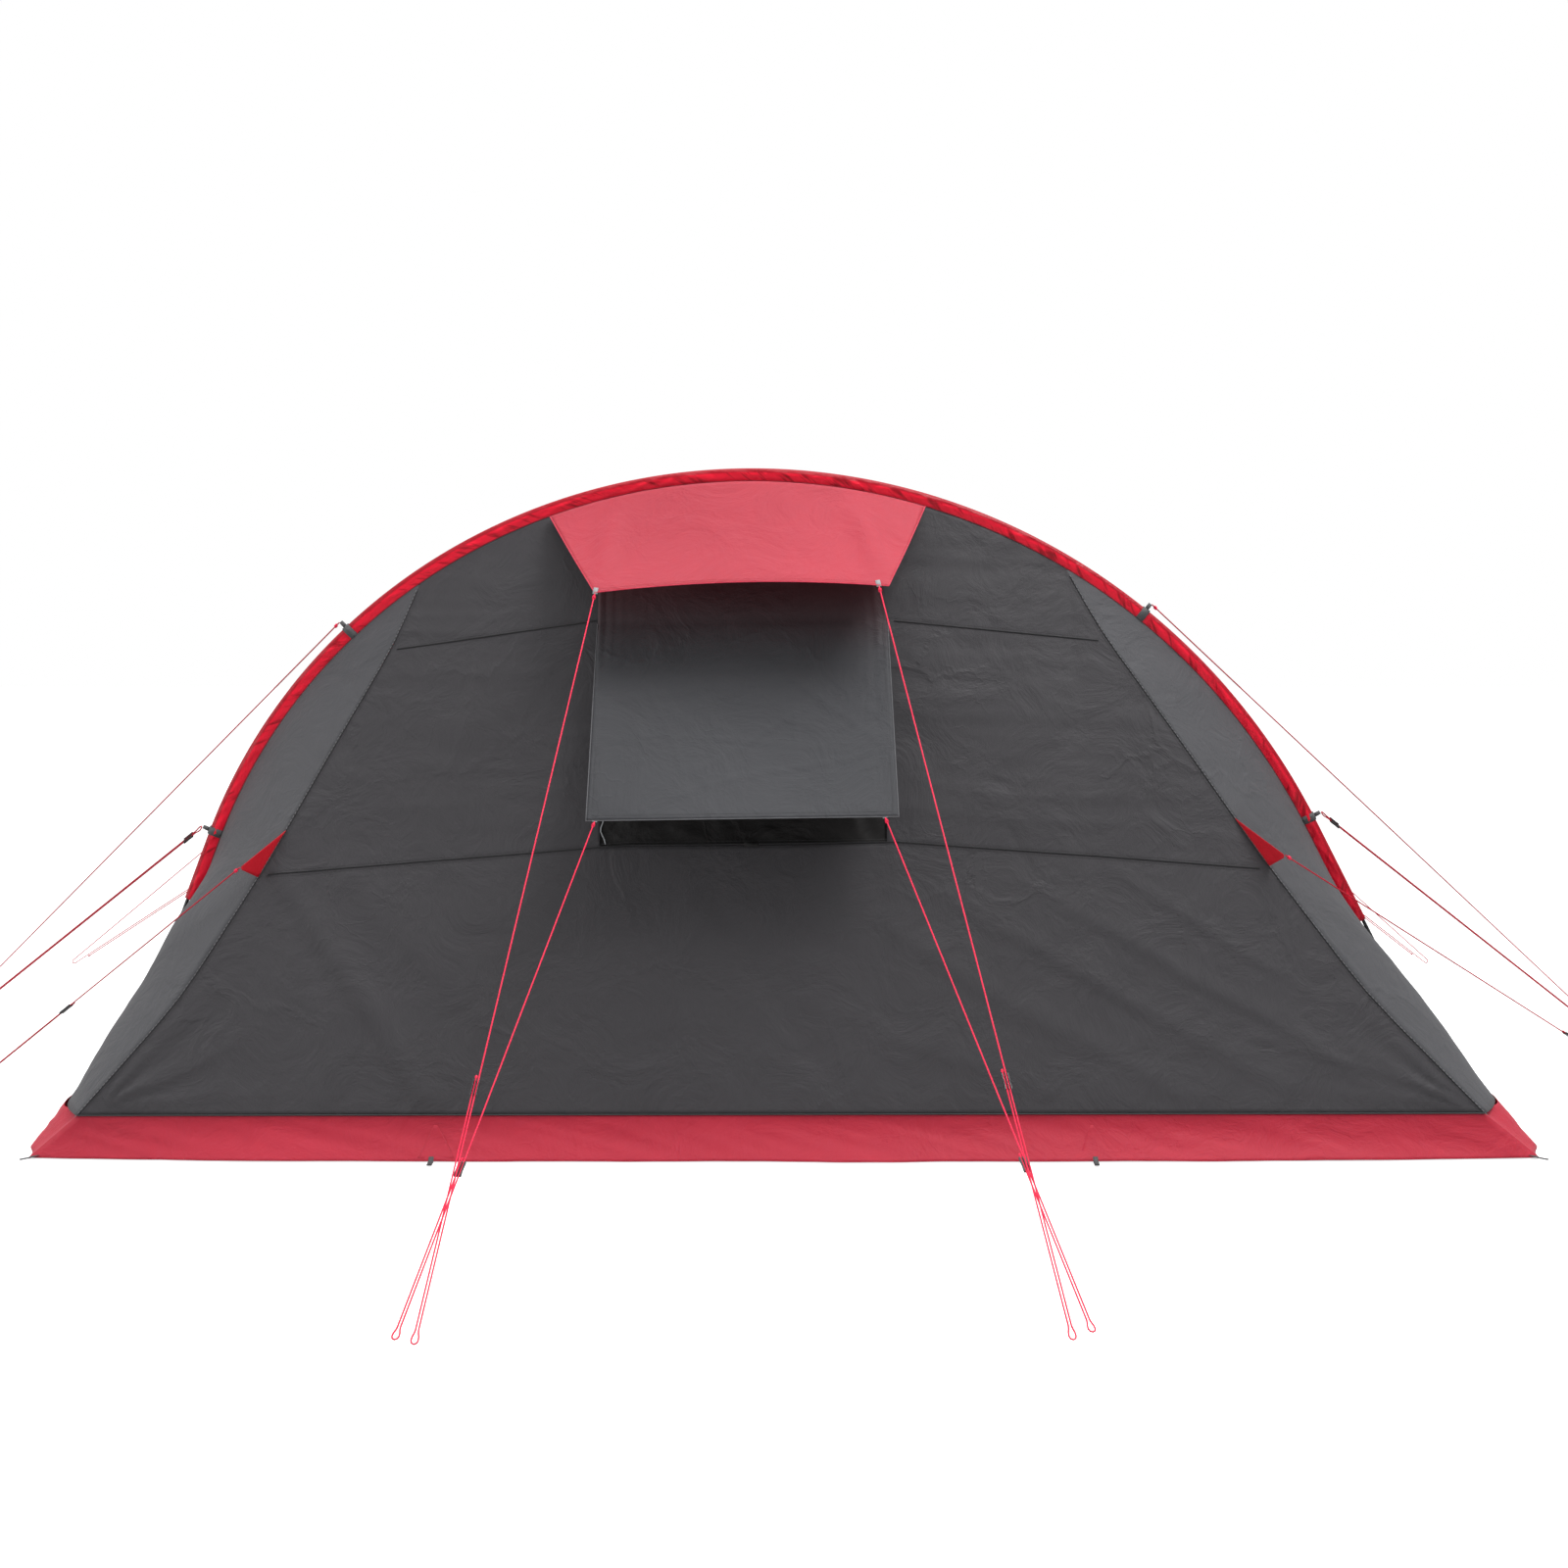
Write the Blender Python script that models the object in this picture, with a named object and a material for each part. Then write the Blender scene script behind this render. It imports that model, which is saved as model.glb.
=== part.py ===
"""Tunnel tent, pitched: three pole arches in sleeves, a red and grey fly with a vent hood and
a window flap, an inner cabin, a groundsheet and ten guylines with runners.
Metres, Z up. The window end faces -Y and the door end faces +Y."""

import math

import bmesh
import bpy
from mathutils import Matrix, Vector

for leftover in list(bpy.data.objects):
    bpy.data.objects.remove(leftover, do_unlink=True)

# ---------------------------------------------------------------- driving dimensions
ARCH_R = 1.905                     # outer edge of a pole sleeve
ARCH_Z = 0.109                     # height of the arch centre
LEG_TURN = math.radians(65.47)     # where the arc turns into a straight leg
ARC_RUN = ARCH_R * LEG_TURN
END_Y = 1.43                       # plane of the rear and front arch
BASE_Y = 1.98                      # foot of the sloping end walls
LEAN = 0.076                       # the whole tent leans this much to the left per metre of height
TILT = 0.014                       # and rises this much to the right per metre of width
POLE_R = 0.0055
POLE_IN = 0.010                    # pole axis, in from the sleeve's outer edge
SLEEVE_DEEP = 0.055
FLY_IN = 0.0555                    # outer face of the fly, in from the sleeve's outer edge
CLOTH = 0.003
HEM_Z = 0.12                       # top of the ground skirt
EAVE_RUN = 2.266                   # where the roof meets the side panels
CABIN_IN = 0.1355
CORD_R = 0.002
STRAND_GAP = 0.007                 # between the two strands of a doubled line
RUNNER = (0.046, 0.016, 0.0074)    # length, width, height
STATIONS = (0, 0.21, 0.42, 0.63, 0.84, 1.05, 1.25, 1.455, 1.66, 1.86, 2.05, EAVE_RUN)

CRIMSON = (0.52, 0.012, 0.045, 1)
ROSE = (0.60, 0.045, 0.085, 1)
GREY = (0.085, 0.085, 0.092, 1)
PALE_GREY = (0.14, 0.14, 0.15, 1)
LINE_RED = (0.72, 0.02, 0.10, 1)
BLACK = (0.012, 0.012, 0.013, 1)
CABIN_GREY = (0.35, 0.35, 0.33, 1)


# ---------------------------------------------------------------- shared shapes
def settle(point):
    """The pitched tent leans and tilts a little as a whole; the ground stays put."""
    x, y, z = point
    return Vector((x - LEAN * z, y, z * (1 + TILT * x)))


def arch(run, inset):
    """(x, z) of an arch, run metres along its outer edge from the top, inset metres inside it."""
    turn = min(abs(run), ARC_RUN) / ARCH_R
    leg = max(abs(run) - ARC_RUN, 0)
    x = (ARCH_R - inset) * math.sin(turn) + leg * math.cos(LEG_TURN)
    z = ARCH_Z + (ARCH_R - inset) * math.cos(turn) - leg * math.sin(LEG_TURN)
    return math.copysign(x, run), z


def run_at(z, inset):
    """How far along the outer edge the straight leg comes down to height z."""
    return ARC_RUN + (arch(ARC_RUN, inset)[1] - z) / math.sin(LEG_TURN)


def half_width(z, inset):
    """Half the width of the arch at height z."""
    if z < arch(ARC_RUN, inset)[1]:
        return arch(run_at(z, inset), inset)[0]
    return math.sqrt(max((ARCH_R - inset) ** 2 - (z - ARCH_Z) ** 2, 0))


def arch_height(x, inset):
    return ARCH_Z + math.sqrt((ARCH_R - inset) ** 2 - x * x)


def chord(run, inset):
    """As arch(), but on the straight pieces between stations, so that trim sits flat on a sleeve."""
    low = max(s for s in STATIONS if s <= abs(run))
    high = min(s for s in STATIONS if s > abs(run))
    share = (abs(run) - low) / (high - low)
    ends = arch(low, inset), arch(high, inset)
    x = ends[0][0] * (1 - share) + ends[1][0] * share
    z = ends[0][1] * (1 - share) + ends[1][1] * share
    return math.copysign(x, run), z


def material(name, colour, roughness, metallic=0.0):
    made = bpy.data.materials.new(name)
    made.use_nodes = True
    shader = made.node_tree.nodes["Principled BSDF"]
    shader.inputs["Base Color"].default_value = colour
    shader.inputs["Roughness"].default_value = roughness
    shader.inputs["Metallic"].default_value = metallic
    made.diffuse_color = colour
    return made


def solid(name, points, faces, colour, roughness=0.8, origin=None, metallic=0.0):
    """One closed body, faces turned outward, with its own material and its origin where asked."""
    at = Vector(origin or (0, 0, 0))
    mesh = bpy.data.meshes.new(name)
    mesh.from_pydata([Vector(p) - at for p in points], [], faces)
    grown = bmesh.new()
    grown.from_mesh(mesh)
    bmesh.ops.recalc_face_normals(grown, faces=grown.faces)
    bmesh.ops.triangulate(grown, faces=[f for f in grown.faces if len(f.verts) > 3])
    grown.to_mesh(mesh)
    grown.free()
    mesh.materials.append(material(name, colour, roughness, metallic))
    made = bpy.data.objects.new(name, mesh)
    made.location = at
    bpy.context.scene.collection.objects.link(made)
    return made


def panel(name, rows, colour, hole=(), thick=CLOTH, origin=None, lean=True):
    """A sheet of cloth from rows of points; cells (row, column) in hole are left open."""
    grid = [[settle(p) if lean else Vector(p) for p in row] for row in rows]
    high, wide = len(grid), len(grid[0])
    centre = Vector((0, 0, 0.8))
    normals = []
    for i in range(high):
        for j in range(wide):
            down = grid[min(i + 1, high - 1)][j] - grid[max(i - 1, 0)][j]
            over = grid[i][min(j + 1, wide - 1)] - grid[i][max(j - 1, 0)]
            normals.append(down.cross(over).normalized())
    middle = (high // 2) * wide + wide // 2
    outward = normals[middle].dot(grid[high // 2][wide // 2] - centre)
    sign = 1 if outward > 0 else -1
    outer = [p for row in grid for p in row]
    inner = [p - n * thick * sign for p, n in zip(outer, normals)]
    count = high * wide
    cells = [(i, j) for i in range(high - 1) for j in range(wide - 1) if (i, j) not in hole]
    faces = []
    edges = {}
    for i, j in cells:
        quad = [i * wide + j, i * wide + j + 1, (i + 1) * wide + j + 1, (i + 1) * wide + j]
        faces.append(quad)
        faces.append([v + count for v in reversed(quad)])
        for a, b in zip(quad, quad[1:] + quad[:1]):
            key = (min(a, b), max(a, b))
            edges[key] = edges.get(key, 0) + 1
    faces += [[a, b, b + count, a + count] for (a, b), uses in edges.items() if uses == 1]
    used = sorted({v for face in faces for v in face})
    place = {v: k for k, v in enumerate(used)}
    points = [(outer + inner)[v] for v in used]
    return solid(name, points, [[place[v] for v in face] for face in faces], colour, 0.8, origin)


def tube(name, y, runs, ring, colour, inner=None, shape=arch, roughness=0.5, metallic=0.0):
    """A ring of (inset, across) points carried along the arch; inner makes it hollow."""
    rings = [ring] + ([inner] if inner else [])
    points = []
    for loop in rings:
        for run in runs:
            for inset, across in loop:
                x, z = shape(run, inset)
                points.append(settle((x, y + across, z)))
    size, length = len(ring), len(runs)
    faces = []
    for layer in range(len(rings)):
        base = layer * size * length
        for i in range(length - 1):
            for k in range(size):
                a, b = base + i * size + k, base + i * size + (k + 1) % size
                quad = [a, b, b + size, a + size]
                faces.append(quad if layer == 0 else quad[::-1])
    last = (length - 1) * size
    if inner:
        shift = size * length
        for k in range(size):
            n = (k + 1) % size
            faces.append([k, k + shift, n + shift, n])
            faces.append([last + k, last + n, last + n + shift, last + k + shift])
    else:
        faces.append(list(range(size)))
        faces.append([last + k for k in reversed(range(size))])
    return solid(name, points, faces, colour, roughness, None, metallic)


def prism(name, outline, ends, colour, origin=None):
    """An outline carried in a straight line; ends gives, for each end, a function of a 2-D point."""
    count = len(outline)
    points = [end(p) for end in ends for p in outline]
    sides = [[k, (k + 1) % count, (k + 1) % count + count, k + count] for k in range(count)]
    caps = [list(range(count)), [k + count for k in reversed(range(count))]]
    return solid(name, points, sides + caps, colour, 0.5, origin)


# ---------------------------------------------------------------- poles, feet and sleeves
SLEEVE = [(0, 0.006), (0.006, 0.011), (0.018, 0.012), (0.036, 0.007), (SLEEVE_DEEP, 0.0015)]
SLEEVE += [(inset, -across) for inset, across in reversed(SLEEVE)]
LINING = [(0.0015, 0.0052), (0.007, 0.0095), (0.018, 0.0103), (0.035, 0.0056), (0.049, 0.0015)]
LINING += [(inset, -across) for inset, across in reversed(LINING)]
SLEEVE_END = {-1: run_at(0.70, 0), 1: run_at(0.60, 0)}
POLE_TIP = run_at(0.014, POLE_IN)
PLANES = {"rear": -END_Y, "middle": 0.0, "front": END_Y}


def both_ways(*extra):
    """Stations from the left foot to the right one; extra ones differ from side to side."""
    left = [-s for s in reversed(STATIONS)]
    return [-extra[0]] + left + [s for s in STATIONS if s > 0] + [extra[1]]


pole_ring = [
    (POLE_IN + POLE_R * math.cos(k * math.pi / 4), POLE_R * math.sin(k * math.pi / 4))
    for k in range(8)
]
for place, plane in PLANES.items():
    runs = both_ways(POLE_TIP, POLE_TIP)
    tube(place + "_pole", plane, runs, pole_ring, BLACK)
    runs = both_ways(SLEEVE_END[-1], SLEEVE_END[1])
    tube(place + "_sleeve", plane, runs, SLEEVE, CRIMSON, LINING, roughness=0.75)


def pole_foot(name, side, plane):
    """A turned cup with a blind hole that the pole's end stands in."""
    up_x, up_z = -side * math.cos(LEG_TURN), math.sin(LEG_TURN)
    tip = settle((side * arch(POLE_TIP, POLE_IN)[0], plane, arch(POLE_TIP, POLE_IN)[1]))
    axis = Vector((up_x - LEAN * up_z, 0, up_z)).normalized()
    side_way = Vector((axis.z, 0, -axis.x))
    profile = [(0.011, -0.0085), (0.012, -0.002), (0.009, 0.022), (0.0062, 0.022), (0.0062, -0.0015)]
    points = []
    for radius, height in profile:
        for k in range(10):
            turn = 2 * math.pi * k / 10
            round_it = side_way * math.cos(turn) + Vector((0, 1, 0)) * math.sin(turn)
            points.append(tip + axis * height + round_it * radius)
    faces = []
    for row in range(4):
        for k in range(10):
            a, b = row * 10 + k, row * 10 + (k + 1) % 10
            faces.append([a, b, b + 10, a + 10])
    faces += [list(range(10)), [40 + k for k in range(10)]]
    lowest = min(p.z for p in points)
    assert lowest > 0, lowest
    solid(name, points, faces, BLACK, 0.4)


for place, plane in PLANES.items():
    pole_foot("pole_foot_" + place + "_left", -1, plane)
    pole_foot("pole_foot_" + place + "_right", 1, plane)

# Webbing bands over the rear sleeve, each with the loop that a guyline is tied to.
BAND_RUNS = {"upper": 1.3525, "lower": 2.158}
band_in = [(-0.0006, 0.0066), (0.0058, 0.0117), (0.018, 0.0126), (0.036, 0.0076), (0.045, 0.0056)]
band_out = [(-0.0022, 0.0074), (0.0050, 0.0132), (0.018, 0.0142), (0.036, 0.0092), (0.045, 0.0072)]
loop_out = [(-0.0022, 0.0020), (-0.020, 0.0008)]
outline = [(d, -y) for d, y in reversed(band_in)] + band_in
outline += list(reversed(band_out)) + loop_out[:1] + loop_out[1:]
outline += [(d, -y) for d, y in reversed(loop_out)] + [(d, -y) for d, y in band_out]
band_tips = {}
for height, middle in BAND_RUNS.items():
    for side, word in ((-1, "left"), (1, "right")):
        ends = []
        for step in (-0.0125, 0.0125):
            def end(p, run=side * (middle + step)):
                x, z = chord(run, p[0])
                return settle((x, -END_Y + p[1], z))
            ends.append(end)
        prism("band_" + height + "_" + word, outline, ends, BLACK)
        x, z = chord(side * middle, -0.026)
        band_tips[height, word] = settle((x, -END_Y, z))

# ---------------------------------------------------------------- end walls
SEAM = ((HEM_Z, 2.04), (0.45, 1.740), (0.83, 1.487), (1.17, 1.285), (1.50, 1.082), (1.665, 1.0))
# How far a corner panel swells out sideways between its seam and the pole, by height.
BOW = ((HEM_Z, 0.095), (0.30, 0.112), (0.40, 0.109), (0.50, 0.093), (0.60, 0.068), (0.70, 0.045),
       (0.85, 0.028), (1.10, 0.020), (1.66, 0.0))
TOP_COLUMNS = (0, 0.22, 0.44, 0.66, 0.84, 1.0)
WALL_ROWS = (HEM_Z + 0.001, 0.45, 0.87, 1.17, 1.50)
WALL_TOP_Y = END_Y + 0.006


def seam_x(z):
    for (low, wide), (high, narrow) in zip(SEAM, SEAM[1:]):
        if z <= high:
            return wide + (narrow - wide) * (z - low) / (high - low)
    return SEAM[-1][1]


def wall_y(x, z):
    """How far out the end wall stands at (x, z): it slopes from the ground up to the arch."""
    top = arch_height(min(abs(x), 1.0), FLY_IN)
    return BASE_Y + (WALL_TOP_Y - BASE_Y) * (z - HEM_Z) / (top - HEM_Z)


def wall_grid(sign, left, right, rows=WALL_ROWS, span=range(11)):
    """Rows of an end wall; left and right give the edges of its opening at a height."""
    grid = []
    for z in list(rows) + [None]:
        row = []
        for column in span:
            k = column - 5
            if z is None:
                x = math.copysign(TOP_COLUMNS[abs(k)] - (0.003 if abs(k) == 5 else 0), k)
                row.append((x, sign * WALL_TOP_Y, arch_height(x, FLY_IN) - 0.0005))
                continue
            edge = left(z) if k < 0 else right(z)
            middle = (left(z) + right(z)) / 2
            reach = math.copysign(seam_x(z) - 0.003, k)
            if abs(k) <= 2:
                x = middle + (edge - middle) * abs(k) / 2
            else:
                x = edge + (reach - edge) * (abs(k) - 2) / 3
            row.append((x, sign * wall_y(x, z), z))
        grid.append(row)
    return grid


def window_left(z):
    return -0.482 + 0.076 * (z - 0.87)


def window_right(z):
    return 0.372 + 0.076 * (z - 0.87)


def door_left(z):
    return -0.44


def door_right(z):
    return 0.44


WINDOW_CELLS = [(i, j) for i in (2, 3) for j in (3, 4, 5, 6)]
DOOR_ROWS = (HEM_Z + 0.001, 0.18, 0.65, 1.12, 1.58)
DOOR_CELLS = [(i, j) for i in (1, 2, 3) for j in (3, 4, 5, 6)]
panel("rear_wall", wall_grid(-1, window_left, window_right), GREY, WINDOW_CELLS)
panel("front_wall", wall_grid(1, door_left, door_right, DOOR_ROWS), GREY, DOOR_CELLS)


def inset_rows(sign, left, right, rows, gap):
    """A sheet that fills an opening in an end wall, a gap short of it all round."""
    grid = []
    for row, z in enumerate(rows):
        z += gap if row == 0 else (-gap if row == len(rows) - 1 else 0)
        line = []
        for k in range(5):
            x = left(z) + (right(z) - left(z)) * k / 4
            x += gap if k == 0 else (-gap if k == 4 else 0)
            line.append((x, sign * wall_y(x, z), z))
        grid.append(line)
    return grid


net_rows = inset_rows(-1, window_left, window_right, WALL_ROWS[2:], 0.0004)
panel("window_net", net_rows, BLACK)



def swell(z):
    z = max(z, BOW[0][0])
    for (low, b0), (high, b1) in zip(BOW, BOW[1:]):
        if z <= high:
            return b0 + (b1 - b0) * (z - low) / (high - low)
    return 0.0


for sign, place in ((-1, "rear"), (1, "front")):
    for side, word in ((-1, "left"), (1, "right")):
        rows = []
        for z in (WALL_ROWS if sign < 0 else DOOR_ROWS) + (1.64,):
            outer = seam_x(z)
            start = Vector((outer, wall_y(outer, z), z))
            end = Vector((half_width(z, FLY_IN), WALL_TOP_Y, z))
            start += (end - start).normalized() * 0.003
            row = []
            for t in (0, 0.25, 0.5, 0.75, 1):
                p = start.lerp(end, t) + Vector((swell(z) * 4 * t * (1 - t), 0, 0))
                row.append((side * p.x, sign * p.y, p.z))
            rows.append(row)
        panel(place + "_corner_" + word, rows, PALE_GREY)

# ---------------------------------------------------------------- roof and side panels
FLY_Y = [-1.4285, -1.07, -0.715, -0.36, 0, 0.36, 0.715, 1.07, 1.4285]


def fly_sag(y):
    """Between two arches the cloth is pulled in a little."""
    return FLY_IN + 0.030 * math.sin(math.pi * y / END_Y) ** 2 * (abs(y) < 1.4)


def fly_rows(runs):
    rows = []
    for run in runs:
        row = []
        for y in FLY_Y:
            x, z = arch(run, fly_sag(y))
            row.append((x, y, z))
        rows.append(row)
    return rows


edge = EAVE_RUN - 0.001
panel("roof", fly_rows([-edge] + [-s for s in reversed(STATIONS[:-1])]
                       + list(STATIONS[1:-1]) + [edge]), ROSE)
for side, word in ((-1, "left"), (1, "right")):
    high = fly_rows([side * (EAVE_RUN + 0.001)])[0]
    low = [(side * half_width(HEM_Z + 0.001, fly_sag(y)), y, HEM_Z + 0.001) for y in FLY_Y]
    between = [tuple((a + b) / 2 for a, b in zip(p, q)) for p, q in zip(high, low)]
    panel(word + "_side", [high, between, low], PALE_GREY)

# ---------------------------------------------------------------- hood, flap and patches
hood = []
for share in (0, 0.33, 0.67, 1):
    row = []
    for k in range(-3, 4):
        top_x = 0.578 * k / 3
        low_x = 0.432 * k / 3
        top = Vector((top_x, -1.452, arch_height(top_x, 0.050)))
        low = Vector((low_x, -1.78 + 0.030 * (1 - (k / 3) ** 2), 1.638 + 0.022 * (1 - (k / 3) ** 2)))
        row.append(top.lerp(low, share) - Vector((0, 0, 0.02 * math.sin(math.pi * share))))
    hood.append(row)
panel("vent_hood", hood, ROSE)

flap = []
for share in (0, 0.3, 0.65, 1):
    row = []
    for k in range(5):
        high_x = -0.438 + 0.870 * k / 4
        low_x = -0.496 + 0.901 * k / 4
        top = Vector((high_x, -wall_y(high_x, 1.545) - 0.009, 1.545))
        low = Vector((low_x, -1.95 + 0.02 * math.sin(math.pi * k / 4), 0.9785))
        bow = Vector((0, 0.035, -0.01)) * math.sin(math.pi * share) * math.sin(math.pi * k / 4)
        row.append(top.lerp(low, share) + bow)
    flap.append(row)
panel("window_flap", flap, GREY)

patch_tips = {}
for side, word in ((-1, "left"), (1, "right")):
    tip = Vector((side * 1.540, -1.800, 0.840))
    high, low = (Vector((side * seam_x(z), -wall_y(seam_x(z), z) - 0.0035, z)) for z in (0.93, 0.80))
    rows = [[high, high.lerp(tip, 0.5), tip], [low, low.lerp(tip, 0.5), tip + Vector((0, 0, -0.012))]]
    panel("guy_patch_" + word, rows, CRIMSON, thick=0.002)
    patch_tips[word] = settle(tip)

# ---------------------------------------------------------------- ground skirt and groundsheet
for sign, place in ((-1, "rear"), (1, "front")):
    rows = []
    for z, wide, out in ((HEM_Z - 0.001, 2.036, BASE_Y), (0.06, 2.09, 1.992), (0.0035, 2.168, 2.018)):
        rows.append([(wide * k / 4, sign * out, z) for k in range(-4, 5)])
    panel(place + "_skirt", rows, CRIMSON)
SKIRT_Y = (-2.0, -1.86, -1.72, -1.57, -1.43, -0.715, 0, 0.715, 1.43, 1.57, 1.72, 1.86, 2.0)
for side, word in ((-1, "left"), (1, "right")):
    rows = []
    for z, spread in ((HEM_Z - 0.001, 0.0), (0.06, 0.5), (0.0035, 1.0)):
        row = []
        for y in SKIRT_Y:
            corner = max(0.0, (abs(y) - 1.43) / 0.57)
            reach = 1.973 if z > 0.1 else (1.983 if z > 0.05 else 2.0)
            share = min(max((1.98 - abs(y)) / 0.544, 0), 1)
            top = half_width(HEM_Z, fly_sag(y)) + 0.008 * corner + swell(HEM_Z) * 4 * share * (1 - share)
            out = top + (0.054 + 0.092 * corner ** 2) * spread
            row.append((side * out, math.copysign(min(abs(y), reach), y), z))
        rows.append(row)
    panel(word + "_skirt", rows, CRIMSON)

sheet_x, sheet_y = 1.98, 1.92
corners = [(-sheet_x, -sheet_y), (sheet_x, -sheet_y), (sheet_x, sheet_y), (-sheet_x, sheet_y)]
prism("groundsheet", corners, [lambda p: (p[0], p[1], 0.0), lambda p: (p[0], p[1], CLOTH)], GREY)

# ---------------------------------------------------------------- sleeping cabin
CABIN_Y = (-1.20, 0.55)


def cabin_outline(inset, floor):
    runs = [-run_at(floor, inset)] + [-s for s in reversed(STATIONS)] + list(STATIONS[1:])
    return [arch(run, inset) for run in runs + [run_at(floor, inset)]]


def cabin():
    """The canopy, its sewn-in floor and its back wall, open towards the door."""
    outer = cabin_outline(CABIN_IN, 0.0055)
    inner = cabin_outline(CABIN_IN + CLOTH, 0.0055 + CLOTH)
    size = len(outer)
    points = [settle((x, CABIN_Y[0], z)) for x, z in outer]
    points += [settle((x, CABIN_Y[1], z)) for x, z in outer]
    points += [settle((x, CABIN_Y[0] + CLOTH, z)) for x, z in inner]
    points += [settle((x, CABIN_Y[1], z)) for x, z in inner]
    faces = []
    for k in range(size):
        n = (k + 1) % size
        faces.append([k, n, n + size, k + size])
        faces.append([k + 2 * size, k + 3 * size, n + 3 * size, n + 2 * size])
        faces.append([k + size, n + size, n + 3 * size, k + 3 * size])
    faces += [list(range(size)), [k + 2 * size for k in range(size)]]
    solid("cabin", points, faces, CABIN_GREY)


cabin()


def cabin_front():
    """The cabin's front wall, with a doorway; rows run from the floor to the arch."""
    rows = []
    levels = (0.0055, 0.10, 0.60, 1.10, 1.50, None)
    for z in levels:
        row = []
        for k in range(-5, 6):
            if z is None:
                x = 0.9 * k / 5
                row.append((x, CABIN_Y[1] + CLOTH + 0.0008, arch_height(x, CABIN_IN)))
                continue
            x = 0.55 * k / 2
            if abs(k) > 2:
                wide = half_width(z, CABIN_IN)
                x = math.copysign(0.55 + (wide - 0.55) * (abs(k) - 2) / 3, k)
            row.append((x, CABIN_Y[1] + CLOTH + 0.0008, z))
        rows.append(row)
    cells = [(i, j) for i in (1, 2, 3) for j in (3, 4, 5, 6)]
    panel("cabin_front", rows, CABIN_GREY, cells)


cabin_front()

# ---------------------------------------------------------------- door
GAP = 0.0015
leaf_rows = inset_rows(1, door_left, door_right, DOOR_ROWS[1:], GAP)
hinge_low = settle((-0.44 + GAP / 2, wall_y(-0.44, 0.18), 0.18))
hinge_high = settle((-0.44 + GAP / 2, wall_y(-0.44, 1.58), 1.58))
panel("door_leaf", leaf_rows, GREY, origin=hinge_low)

slide_low = settle((0.405, wall_y(0.405, 0.22), 0.22))
slide_high = settle((0.405, wall_y(0.405, 1.54), 1.54))
zip_way = (slide_high - slide_low).normalized()
zip_side = Vector((1, 0, 0)) - zip_way * zip_way.x
zip_side = (zip_side - Vector((0, 0.0, 0))).normalized()
zip_out = zip_side.cross(zip_way).normalized()
zip_out = zip_out if zip_out.y > 0 else -zip_out
puller_at = slide_low + zip_out * 0.0015


def puller_point(base, step):
    return lambda p: puller_at + zip_side * p[0] + zip_way * (p[1] + base) + zip_out * step


pull_outline = [(-0.006, -0.015), (0.006, -0.015), (0.004, 0.015), (-0.004, 0.015)]
prism("door_zip_puller", pull_outline, [puller_point(0, 0), puller_point(0, 0.004)], BLACK, puller_at)

# ---------------------------------------------------------------- guylines and runners
STAKE_Z = 0.013
RUNNER_PROFILE = (
    (-0.008, -0.0037), (0.008, -0.0037), (0.008, 0.0037), (0.0061, 0.0037), (0.0061, -0.0026),
    (0.0009, -0.0026), (0.0009, 0.0037), (-0.0009, 0.0037), (-0.0009, -0.0026),
    (-0.0061, -0.0026), (-0.0061, 0.0037), (-0.008, 0.0037),
)
LOOP = ((-0.034, 0.0035), (-0.026, 0.0048), (-0.018, 0.0072), (-0.009, 0.0079), (-0.003, 0.0056))


def runner(name, middle, along, across):
    """A moulded block with a slot for each strand of the line that runs through it."""
    up = across.cross(along).normalized()
    up = up if up.z > 0 else -up

    def end(step):
        return lambda p: middle + across * p[0] + up * p[1] + along * step

    prism(name, RUNNER_PROFILE, [end(-RUNNER[0] / 2), end(RUNNER[0] / 2)], BLACK, middle)


def cord(name, points, knots=()):
    """A round cord through the points, thickened where it is knotted."""
    curve = bpy.data.curves.new(name, "CURVE")
    curve.dimensions = "3D"
    curve.bevel_depth = CORD_R
    curve.bevel_resolution = 2
    curve.use_fill_caps = True
    spline = curve.splines.new("POLY")
    spline.points.add(len(points) - 1)
    for index, point in enumerate(points):
        spline.points[index].co = (*point, 1)
        spline.points[index].radius = 1.8 if index in knots else 1.0
    curve.materials.append(material(name, LINE_RED, 0.7))
    made = bpy.data.objects.new(name, curve)
    bpy.context.scene.collection.objects.link(made)
    return made


def end_loop(tip, away, across):
    """The points round a peg: down one strand, round, and up the other."""
    one = [tip + away * s - across * c for s, c in LOOP]
    other = [tip + away * s + across * c for s, c in reversed(LOOP)]
    return one + [tip] + other


def single_line(name, top, ground, share):
    """One strand from the tab to the runner, and a doubled one from there to the peg."""
    ground = Vector(ground)
    away = (ground - top).normalized()
    across = away.cross(Vector((0, 0, 1))).normalized()
    start = top + away * 0.006
    tip = ground + across * STRAND_GAP / 2
    shift = across * STRAND_GAP
    knot = start + (ground - start) * share + shift
    route = [start + (ground - start) * (k / 6) for k in range(6)]
    route += end_loop(tip, away, across)
    low = route[-1]
    route += [low.lerp(knot, k / 3) for k in (1, 2)]
    route += [knot + away * 0.006, knot + away * 0.003, knot, knot - away * 0.003]
    cord("guyline_" + name, route, {len(route) - 2, len(route) - 3})
    middle = start + (ground - start) * share + shift / 2 + away * (0.010 + RUNNER[0] / 2)
    runner("runner_" + name, middle, away, across)


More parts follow.
